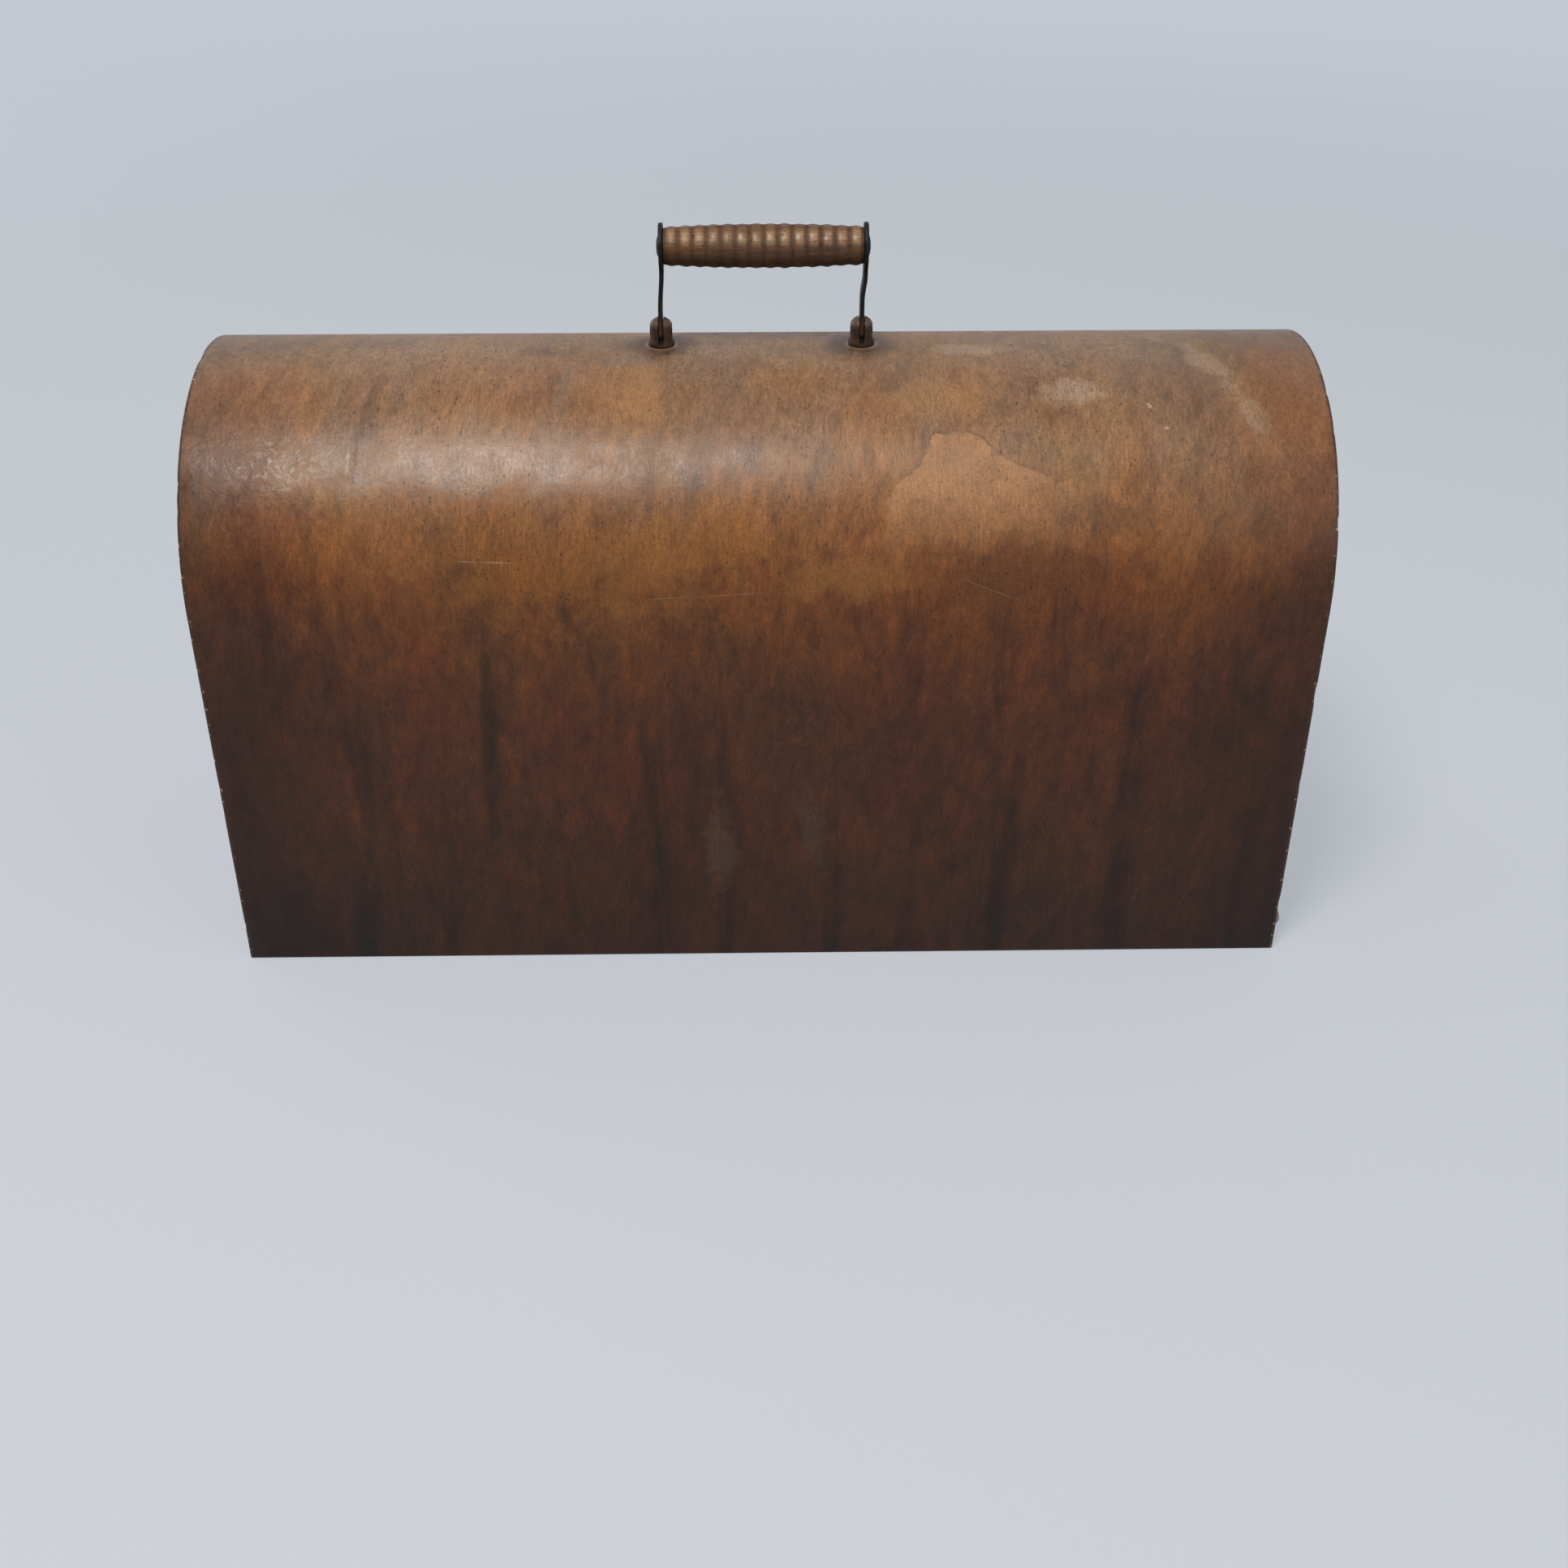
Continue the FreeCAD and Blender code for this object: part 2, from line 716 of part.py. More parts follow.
def lock_face_plate():
    """Slotted plate let into the bottom edge, through which the hook swings out."""
    half_wide = face_plate_width / 2
    half_long = face_plate_length / 2
    low = face_plate_relief
    top = low + face_plate_thickness
    plate = block(
        (left_x(hook_depth - half_wide), left_x(hook_depth + half_wide)),
        (-half_long, half_long),
        (low, top),
    )
    upright = edges_where(plate, lambda centre, box: box.ZLength > face_plate_thickness / 2)
    plate = plate.makeFillet(face_plate_corner, upright)
    half_slot = hook_thickness / 2 + hook_slot_play
    slot = block(
        (left_x(hook_depth - half_slot), left_x(hook_depth + half_slot)),
        (-hook_slot_length / 2, hook_slot_length / 2),
        (low - overcut, top + overcut),
    )
    return cut_screw_pockets(plate.cut(slot), face_plate_screw_places(), Vector(0, 0, -1))


def escutcheon_blank(grow, x_span):
    """Oval blank of the escutcheon, grown by a gap on every side."""
    half_wide = escutcheon_width / 2
    straight = escutcheon_height / 2 - half_wide
    y, z = hook_pivot_y, hook_pivot_height
    middle = block(x_span, (y - half_wide - grow, y + half_wide + grow), (z - straight, z + straight))
    ends = [rod_x(x_span, half_wide + grow, y, z + side * straight) for side in (-1, 1)]
    return middle.fuse(ends).removeSplitter()


def escutcheon_pin_places():
    """Centres of the escutcheon's two pins on the outer face of the left end panel."""
    reach = escutcheon_pin_pitch / 2
    return [Vector(left_x(0), hook_pivot_y, hook_pivot_height + side * reach) for side in (-1, 1)]


def keyhole_escutcheon():
    """Thin oval ring round the keyhole, let in flush with the end panel."""
    span = (left_x(0), left_x(escutcheon_thickness))
    ring = escutcheon_blank(0.0, span)
    ring = ring.cut(rod_x(span, keyhole_radius, hook_pivot_y, hook_pivot_height))
    for place in escutcheon_pin_places():
        ring = ring.cut(rod_x(span, escutcheon_pin_radius + screw_gap, place.y, place.z))
    return ring


def escutcheon_pins():
    """Two headless pins that hold the escutcheon."""
    pins = []
    for place in escutcheon_pin_places():
        span = (left_x(0), left_x(escutcheon_pin_length))
        pins.append(rod_x(span, escutcheon_pin_radius, place.y, place.z))
    return Part.Compound(pins)


# --- Locating pegs in the right end -------------------------------------------------------

def locating_peg(peg_y):
    """Plate with a riveted round peg that enters an eye on the base."""
    face = right_x(0)
    plate_back = right_x(peg_plate_thickness)
    half = peg_plate_width / 2
    plate = rounded_plate(
        (plate_back, face),
        (peg_y - half, peg_y + half),
        (peg_plate_lift, peg_plate_lift + peg_plate_height),
        peg_plate_corner,
    )
    peg = rod_x((plate_back, face + peg_projection), peg_radius, peg_y, peg_height)
    tip = edges_where(peg, lambda centre, box: centre.x > face + peg_projection - 1e-3)
    peg = peg.makeChamfer(peg_tip_chamfer, tip)
    collar = rod_x((face, face + peg_collar_height), peg_collar_radius, peg_y, peg_height)
    tenon = rod_x((plate_back - peg_tenon_length, plate_back), peg_radius, peg_y, peg_height)
    whole = plate.fuse([peg, collar, tenon]).removeSplitter()
    return cut_screw_pockets(whole, peg_screw_places(peg_y), Vector(1, 0, 0))


def peg_plate_screws():
    """The four screws of the two peg plates."""
    places = [place for peg_y in peg_places() for place in peg_screw_places(peg_y)]
    return screw_group(places, Vector(1, 0, 0))


def lock_screws():
    """The four screws of the lock's back plate and the two of its face plate."""
    back = screw_group(back_plate_screw_places(), Vector(1, 0, 0))
    face = screw_group(face_plate_screw_places(), Vector(0, 0, -1))
    return Part.Compound(back.Solids + face.Solids)


def build():
    """All the pieces of the cover, by node name."""
    left_post, right_post = post_places()
    front_peg, rear_peg = peg_places()
    return {
        "bent_shell": bent_shell(),
        "left_end_panel": left_end_panel(),
        "right_end_panel": right_end_panel(),
        "left_glue_blocks": glue_blocks(-1),
        "right_glue_blocks": glue_blocks(1),
        "handle_backing_strip": handle_backing_strip(),
        "left_handle_post": handle_post(left_post),
        "right_handle_post": handle_post(right_post),
        "left_pivot_pin": pivot_pin(left_post),
        "right_pivot_pin": pivot_pin(right_post),
        "left_handle_arm": handle_arm(left_post, left_set_start, left_set_length),
        "right_handle_arm": handle_arm(right_post, right_set_start, right_set_length),
        "handle_grip": handle_grip(),
        "grip_rod": grip_rod(),
        "post_washers": post_washers(),
        "post_nuts": post_nuts(),
        "lock_case": lock_case(),
        "lock_back_plate": lock_back_plate(),
        "lock_face_plate": lock_face_plate(),
        "lock_hook": lock_hook(),
        "lock_spindle": lock_spindle(),
        "lock_screws": lock_screws(),
        "keyhole_escutcheon": keyhole_escutcheon(),
        "escutcheon_pins": escutcheon_pins(),
        "front_locating_peg": locating_peg(front_peg),
        "rear_locating_peg": locating_peg(rear_peg),
        "peg_plate_screws": peg_plate_screws(),
    }


def main():
    """Write each piece to a STEP file of its own."""
    os.makedirs("parts", exist_ok=True)
    for name, shape in build().items():
        piece = moved(shape, footprint_shift)
        piece.exportStep(os.path.join("parts", name + ".step"))
        print(name, len(piece.Solids), "solids,", round(piece.Volume, 1), "mm3, valid", piece.isValid())


main()
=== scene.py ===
"""Looks of a domed bentwood sewing machine cover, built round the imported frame.

Metres, +Z up, -Y to the front. Each sub-assembly is a class that builds its own meshes as numpy
grids and dresses them; each finish is a frozen dataclass that makes one procedural material.
"""

import logging
import math
from dataclasses import dataclass, field
from enum import Enum
from functools import partial, reduce

import bmesh
import bpy
import numpy as np
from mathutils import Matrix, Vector


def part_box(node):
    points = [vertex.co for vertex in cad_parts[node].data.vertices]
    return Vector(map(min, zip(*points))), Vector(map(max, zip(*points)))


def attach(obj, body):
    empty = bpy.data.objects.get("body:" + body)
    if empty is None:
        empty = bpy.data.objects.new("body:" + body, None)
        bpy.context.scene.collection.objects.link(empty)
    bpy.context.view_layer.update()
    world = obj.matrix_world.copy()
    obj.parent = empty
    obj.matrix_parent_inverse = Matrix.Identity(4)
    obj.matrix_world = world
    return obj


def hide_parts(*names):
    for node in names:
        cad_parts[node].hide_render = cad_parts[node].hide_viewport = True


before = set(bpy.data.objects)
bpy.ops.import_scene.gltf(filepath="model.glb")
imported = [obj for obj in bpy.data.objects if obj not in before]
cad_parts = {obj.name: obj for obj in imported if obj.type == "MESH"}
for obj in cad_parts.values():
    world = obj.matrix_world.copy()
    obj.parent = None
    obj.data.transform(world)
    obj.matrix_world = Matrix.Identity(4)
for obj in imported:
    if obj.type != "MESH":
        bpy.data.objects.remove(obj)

Array = np.ndarray
Pair = tuple[float, float]
Triple = tuple[float, float, float]
Waves = tuple[int, float]  # how many sines, and the longest wavelength
Faces = list[list[int]]
Colour = Triple
Piece = bpy.types.Object
Node = bpy.types.Node
Socket = bpy.types.NodeSocket
Material = bpy.types.Material
World = bpy.types.World
Value = float | Triple | Socket

MM = 0.001
MICRON = 1e-6
LAY = "lay"
CREST = "crest"
SEEN_RAYS = ("Is Camera Ray", "Is Glossy Ray", "Is Transmission Ray")

log = logging.getLogger("cover")


# --- Meshes ---------------------------------------------------------------------------------


def grid_faces(
    rows: int, columns: int, close_rows: bool = False, close_columns: bool = False,
) -> Array:
    """Corner numbers of the quads of a grid whose points are numbered row by row.

    Args:
        rows: how many rows of points the grid has.
        columns: how many points each row has.
        close_rows: whether the last row joins the first.
        close_columns: whether each row is a closed ring.

    Returns:
        An array of four corner numbers for each quad.
    """
    row = np.arange(rows if close_rows else rows - 1)
    column = np.arange(columns if close_columns else columns - 1)
    low, left = np.meshgrid(row, column, indexing="ij")
    high, right = (low + 1) % rows, (left + 1) % columns
    corners = ((low, left), (high, left), (high, right), (low, right))
    return np.stack([row * columns + column for row, column in corners], axis=-1).reshape(-1, 4)


def make_piece(
    name: str, points: Array, faces: Faces, marks: dict[str, Array] | None = None,
    crease: float = 35.0,
) -> Piece:
    """Makes one object at the origin from points and faces, welded and with its faces outwards.

    Args:
        name: the piece's name.
        points: one row of three coordinates for each point.
        faces: lists of corner numbers.
        marks: values for each point, by attribute name, as numbers or as vectors.
        crease: the angle in degrees past which an edge stays sharp.

    Returns:
        The new object, linked to the scene.
    """
    mesh = bpy.data.meshes.new(name)
    mesh.from_pydata(points.reshape(-1, 3).tolist(), [], faces)
    for mark, values in (marks or {}).items():
        kind, key = ("FLOAT", "value") if values.ndim == 1 else ("FLOAT_VECTOR", "vector")
        layer = mesh.attributes.new(mark, kind, "POINT")
        layer.data.foreach_set(key, values.astype(np.float32).ravel())
    work = bmesh.new()
    work.from_mesh(mesh)
    bmesh.ops.remove_doubles(work, verts=work.verts, dist=0.1 * MICRON)
    bmesh.ops.recalc_face_normals(work, faces=work.faces)
    work.to_mesh(mesh)
    work.free()
    mesh.shade_smooth()
    mesh.set_sharp_from_angle(angle=math.radians(crease))
    piece = bpy.data.objects.new(name, mesh)
    bpy.context.scene.collection.objects.link(piece)
    return piece


def ripple(seed: int, places: Array, waves: int, longest: float) -> Array:
    """Smooth irregular values between about -1 and 1 along a line.

    The value is a sum of sines with random phases whose wavelengths shrink from the longest.

    Args:
        seed: picks the phases.
        places: where along the line, in metres.
        waves: how many sines.
        longest: the longest wavelength, in metres.

    Returns:
        One value for each place.
    """
    rng = np.random.default_rng(seed)
    total = np.zeros_like(places, dtype=float)
    for step in range(waves):
        length = longest / (1 + step * rng.uniform(0.6, 1.1))
        total += np.sin(places / length * math.tau + rng.uniform(0, math.tau)) / math.sqrt(waves)
    return total


def round_corner(radius: float, steps: int) -> tuple[Array, Array]:
    """Quarter circle that leads from one face into the next.

    Args:
        radius: the radius of the round.
        steps: how many points it has.

    Returns:
        How far each point lies in from the first face, and how far short of the second.
    """
    turn = np.linspace(0, math.pi / 2, steps)
    return radius * (1 - np.cos(turn)), radius * (1 - np.sin(turn))


def turned_points(profile_x: Array, profile_radius: Array, around: int) -> Array:
    """Profile turned round the X axis: each point sweeps a circle of its own radius.

    Args:
        profile_x: place of each profile point along the axis.
        profile_radius: its distance from the axis.
        around: how many points each circle has.

    Returns:
        A grid of points, one row for each profile point.
    """
    turn = np.linspace(0, math.tau, around, endpoint=False)
    radius = profile_radius[:, None]
    x = np.repeat(profile_x[:, None], around, axis=1)
    return np.stack([x, radius * np.sin(turn), radius * np.cos(turn)], axis=-1)


# --- Materials ------------------------------------------------------------------------------


class Recipe:
    """Short calls for the nodes of a material or world; each returns the socket of its result."""

    def __init__(self, owner: Material | World) -> None:
        """Empties the node tree of a material or world.

        Args:
            owner: the material or world that the nodes belong to.
        """
        owner.use_nodes = True
        owner.node_tree.nodes.clear()
        self.owner = owner
        self.tree = owner.node_tree

    @classmethod
    def named(cls, name: str) -> "Recipe":
        """Recipe of a new material with that name."""
        return cls(bpy.data.materials.new(name))

    def feed(self, socket: Socket, value: Value) -> None:
        """Links a socket to another, or sets it to a number, a vector or a colour.

        Args:
            socket: the input.
            value: what it gets.
        """
        if isinstance(value, Socket):
            self.tree.links.new(value, socket)
        elif socket.type == "RGBA":
            socket.default_value = (*value, 1.0)
        else:
            socket.default_value = value

    def node(self, kind: str, feeds: dict[int | str, Value], **options: object) -> Node:
        """Adds a node.

        Args:
            kind: its type.
            feeds: what each of its inputs gets, by the input's number or name.
            **options: its own settings.

        Returns:
            The node.
        """
        made = self.tree.nodes.new(kind)
        for key, option in options.items():
            setattr(made, key, option)
        for key, value in feeds.items():
            self.feed(made.inputs[key], value)
        return made

    def place(self) -> Socket:
        """Object coordinates, in metres."""
        return self.node("ShaderNodeTexCoord", {}).outputs["Object"]

    def mark(self, name: str, kind: str = "Fac") -> Socket:
        """A value that the mesh carries at its points."""
        return self.node("ShaderNodeAttribute", {}, attribute_name=name).outputs[kind]

    def parts(self, vector: Value) -> tuple[Socket, ...]:
        """The three numbers of a vector."""
        return tuple(self.node("ShaderNodeSeparateXYZ", {0: vector}).outputs)

    def calc(self, step: str, first: Value, second: Value = 0.0, clamp: bool = False) -> Socket:
        """One step of arithmetic."""
        feeds = {0: first, 1: second}
        return self.node("ShaderNodeMath", feeds, operation=step, use_clamp=clamp).outputs[0]

    def total(self, *values: Value) -> Value:
        """Sum of several numbers."""
        return reduce(partial(self.calc, "ADD"), values)

    def product(self, *values: Value) -> Value:
        """Product of several numbers."""
        return reduce(partial(self.calc, "MULTIPLY"), values)

    def swing(self, noise: Value, amount: float) -> Value:
        """A noise made to swing about zero, over that amount in all."""
        return self.product(self.calc("SUBTRACT", noise, 0.5), amount)

    def span(
        self, value: Value, low: float, high: float, start: float = 0.0, end: float = 1.0,
    ) -> Socket:
        """Smooth step from start, where the value is low, to end, where it is high."""
        feeds = {"Value": value, "From Min": low, "From Max": high, "To Min": start, "To Max": end}
        return self.node("ShaderNodeMapRange", feeds, interpolation_type="SMOOTHSTEP").outputs[0]

    def vary(self, noise: Value, start: float, end: float) -> Socket:
        """Smooth step from start to end over the usual reach of a noise."""
        return self.span(noise, 0.3, 0.7, start, end)

    def fade(self, value: Value, low: float, high: float, start: float = 1.0) -> Socket:
        """Smooth step from start, where the value is low, to zero, where it is high."""
        return self.span(value, low, high, start, 0.0)

    def stretch(self, vector: Value, scale: Triple, shift: Triple = (0.0, 0.0, 0.0)) -> Socket:
        """A vector scaled along each axis and shifted."""
        feeds = {"Vector": vector, "Scale": scale, "Location": shift}
        return self.node("ShaderNodeMapping", feeds).outputs[0]

    def local(self, vector: Value, centre: Triple, size: Triple, tilt: float = 0.0) -> Socket:
        """A vector seen from a centre, turned back by a tilt and measured in a size."""
        feeds = {"Vector": vector, "Location": centre, "Rotation": (0.0, 0.0, tilt), "Scale": size}
        return self.node("ShaderNodeMapping", feeds, vector_type="TEXTURE").outputs[0]

    def length(self, vector: Value) -> Socket:
        """Length of a vector."""
        return self.node("ShaderNodeVectorMath", {0: vector}, operation="LENGTH").outputs["Value"]

    def noise(
        self, vector: Value, scale: float, detail: float, roughness: float, distortion: float = 0.0,
    ) -> Socket:
        """Cloudy noise around one half."""
        feeds = {"Vector": vector, "Scale": scale, "Detail": detail, "Roughness": roughness}
        return self.node("ShaderNodeTexNoise", feeds | {"Distortion": distortion}).outputs[0]

    def streaks(
        self, vector: Value, scale: Triple, detail: float, roughness: float,
        distortion: float = 0.0, shift: Triple = (0.0, 0.0, 0.0),
    ) -> Socket:
        """Cloudy noise with its own scale along each axis."""
        return self.noise(self.stretch(vector, scale, shift), 1.0, detail, roughness, distortion)

    def cells(self, vector: Value, scale: float) -> Socket:
        """Distance to the nearest of many scattered points, in units of their spacing."""
        made = self.node("ShaderNodeTexVoronoi", {"Vector": vector, "Scale": scale})
        return made.outputs["Distance"]

    def mix(self, share: Value, first: Value, second: Value, mode: str = "MIX") -> Socket:
        """First colour, with a share of the second laid over it."""
        options = {"data_type": "RGBA", "blend_type": mode, "clamp_factor": True}
        return self.node("ShaderNodeMix", {0: share, 6: first, 7: second}, **options).outputs[2]

    def shade(self, colour: Value, amount: Value) -> Socket:
        """A colour multiplied by a number."""
        feeds = {0: colour, "Scale": amount}
        return self.node("ShaderNodeVectorMath", feeds, operation="SCALE").outputs[0]

    def tones(self, value: Value, stops: list[tuple[float, Colour]]) -> Socket:
        """Colour that runs through a row of stops.

        Args:
            value: where on the row each point is.
            stops: place and colour of each stop, in rising order.

        Returns:
            The colour.
        """
        made = self.node("ShaderNodeValToRGB", {0: value})
        ramp = made.color_ramp
        while len(ramp.elements) < len(stops):
            ramp.elements.new(1.0)
        for element, (position, colour) in zip(ramp.elements, stops):
            element.position = position
            element.color = (*colour, 1.0)
        return made.outputs[0]

    def curve(self, value: Value, points: tuple[Pair, ...]) -> Value:
        """Height of a smooth curve through some points, level beyond its two ends.

        Args:
            value: where along the curve each place is.
            points: place and height of each of its points, in rising order.

        Returns:
            The height.
        """
        places = [place for place, _ in points]
        levels = [level for _, level in points]
        low, high, floor, top = places[0], places[-1], min(levels), max(levels)
        share = self.calc("DIVIDE", self.calc("SUBTRACT", value, low), high - low, clamp=True)
        made = self.node("ShaderNodeFloatCurve", {"Value": share})
        line = made.mapping.curves[0]
        while len(line.points) < len(points):
            line.points.new(0.5, 0.5)
        for point, (place, level) in zip(line.points, points):
            point.location = ((place - low) / (high - low), (level - floor) / (top - floor))
        made.mapping.update()
        return self.total(self.product(made.outputs[0], top - floor), floor)

    def heights(self, *layers: tuple[Value, float]) -> Value:
        """Height in metres of several patterns, each given with its own height in micrometres."""
        return self.total(*(self.product(pattern, microns * MICRON) for pattern, microns in layers))

    def finish(
        self, colour: Value, roughness: Value, height: Value, **constants: float,
    ) -> Material:
        """Closes the material with one principled shader.

        Args:
            colour: base colour.
            roughness: roughness of the surface.
            height: height of the relief, in metres.
            **constants: other inputs of the shader, with underscores for spaces.

        Returns:
            The finished material.
        """
        relief = self.node("ShaderNodeBump", {"Strength": 1.0, "Distance": 1.0, "Height": height})
        feeds = {"Base Color": colour, "Roughness": roughness, "Normal": relief.outputs[0]}
        feeds |= {key.replace("_", " "): number for key, number in constants.items()}
        return self.close(self.node("ShaderNodeBsdfPrincipled", feeds))

    def close(self, shader: Node, output: str = "ShaderNodeOutputMaterial") -> Material | World:
        """Ends the tree in that shader."""
        self.node(output, {"Surface": shader.outputs[0]})
        return self.owner

    def turn_over(self, share: Value, first: Node, second: Node) -> Node:
        """Shader that goes from the first to the second as the share rises."""
        feeds = {0: share, 1: first.outputs[0], 2: second.outputs[0]}
        return self.node("ShaderNodeMixShader", feeds)

    def seen_share(self) -> Value:
        """One for what is seen, also in reflections and through glass, and zero for light."""
        path = self.node("ShaderNodeLightPath", {})
        return self.calc("MINIMUM", self.total(*(path.outputs[kind] for kind in SEEN_RAYS)), 1.0)


@dataclass(frozen=True)
class Smudge:
    """Cloudy mark on the veneer, with its place and size along and over the arch in millimetres."""

    centre: Pair
    size: Pair
    tilt: float
    colour: Colour
    strength: float
    ragged: float
    specks: bool = False

    def mask(self, r: Recipe, lay: Value, cloud: Value, wave: Value) -> Value:
        """Strength of the mark at each point.

        It is one inside a ragged ellipse and fades towards its rim; a mark made of specks shows
        only where a fine noise is high.

        Args:
            r: the material that it belongs to.
            lay: place along and over the arch.
            cloud: noise that makes its outline ragged.
            wave: noise that breaks it into specks.

        Returns:
            The strength.
        """
        centre = (self.centre[0] * MM, self.centre[1] * MM, 0.0)
        size = (self.size[0] * MM, self.size[1] * MM, 1.0)
        seen = r.local(lay, centre, size, math.radians(self.tilt))
        reach = r.calc("ADD", r.length(seen), r.swing(cloud, 2 * self.ragged))
        whole = r.fade(reach, 0.30, 1.0, self.strength)
        return r.product(whole, r.span(wave, 0.50, 0.66)) if self.specks else whole


@dataclass(frozen=True)
class Scratch:
    """Thin mark between two places on the arch, which are given in millimetres, as its width is."""

    start: Pair
    end: Pair
    width: float
    colour: Colour
    strength: float
    wobble: float

    def mask(self, r: Recipe, lay: Value, wave: Value) -> Value:
        """Strength of the mark: one along a wobbling line between its two ends.

        Args:
            r: the material that it belongs to.
            lay: place along and over the arch.
            wave: noise that makes the line wobble.

        Returns:
            The strength.
        """
        left, low = (place * MM for place in self.start)
        right, high = (place * MM for place in self.end)
        centre = ((left + right) / 2, (low + high) / 2, 0.0)
        size = (math.hypot(right - left, high - low) / 2, self.width * MM, 1.0)
        along, across, _ = r.parts(r.local(lay, centre, size, math.atan2(high - low, right - left)))
        off = r.calc("ABSOLUTE", r.calc("ADD", across, r.swing(wave, 6 * self.wobble)))
        within = r.fade(r.calc("ABSOLUTE", along), 0.7, 1.0, self.strength)
        return r.product(r.fade(off, 0.4, 1.0), within)


@dataclass(frozen=True)
class WornPatch:
    """Place where the shellac came off: paler wood under a hard, ragged upper border.

    The border is a curve through a few points, each a place along and over the arch in metres.
    """

    border: tuple[Pair, ...]
    fade_below: Pair
    fade_right: Pair
    ragged: float
    colour: Colour
    rim: Colour
    strength: float = 0.72
    left_fade: float = 6 * MM
    rim_inset: float = 0.9 * MM

    def lay_on(
        self, r: Recipe, tone: Value, along: Value, run: Value, cloud: Value,
    ) -> tuple[Value, Value]:
        """Lays the patch and its broken dark rim over a colour.

        Args:
            r: the material that it belongs to.
            tone: the colour beneath.
            along: place along the arch.
            run: place over the arch.
            cloud: noise that makes the border ragged and breaks the rim.

        Returns:
            The new colour, and how much of the patch shows at each point.
        """
        border = r.total(r.curve(along, self.border), r.swing(cloud, self.ragged))
        inside = r.calc("SUBTRACT", border, run)
        first = self.border[0][0]
        begun = r.span(along, first, first + self.left_fade)
        share = r.product(
            r.span(inside, -0.3 * MM, 0.8 * MM), r.span(run, *self.fade_below),
            begun, r.fade(along, *self.fade_right),
        )
        worn = r.shade(self.colour, r.span(cloud, 0.35, 0.65, 0.86, 1.14))
        tone = r.mix(r.product(share, self.strength), tone, worn)
        near = r.fade(r.calc("ABSOLUTE", r.calc("ADD", inside, self.rim_inset)), 0.2 * MM, 1.3 * MM)
        broken = r.span(cloud, 0.47, 0.60, 0.10, 0.90)
        edge = r.product(near, broken, r.fade(along, *self.fade_right, 0.7), begun)
        return r.mix(edge, tone, self.rim), share


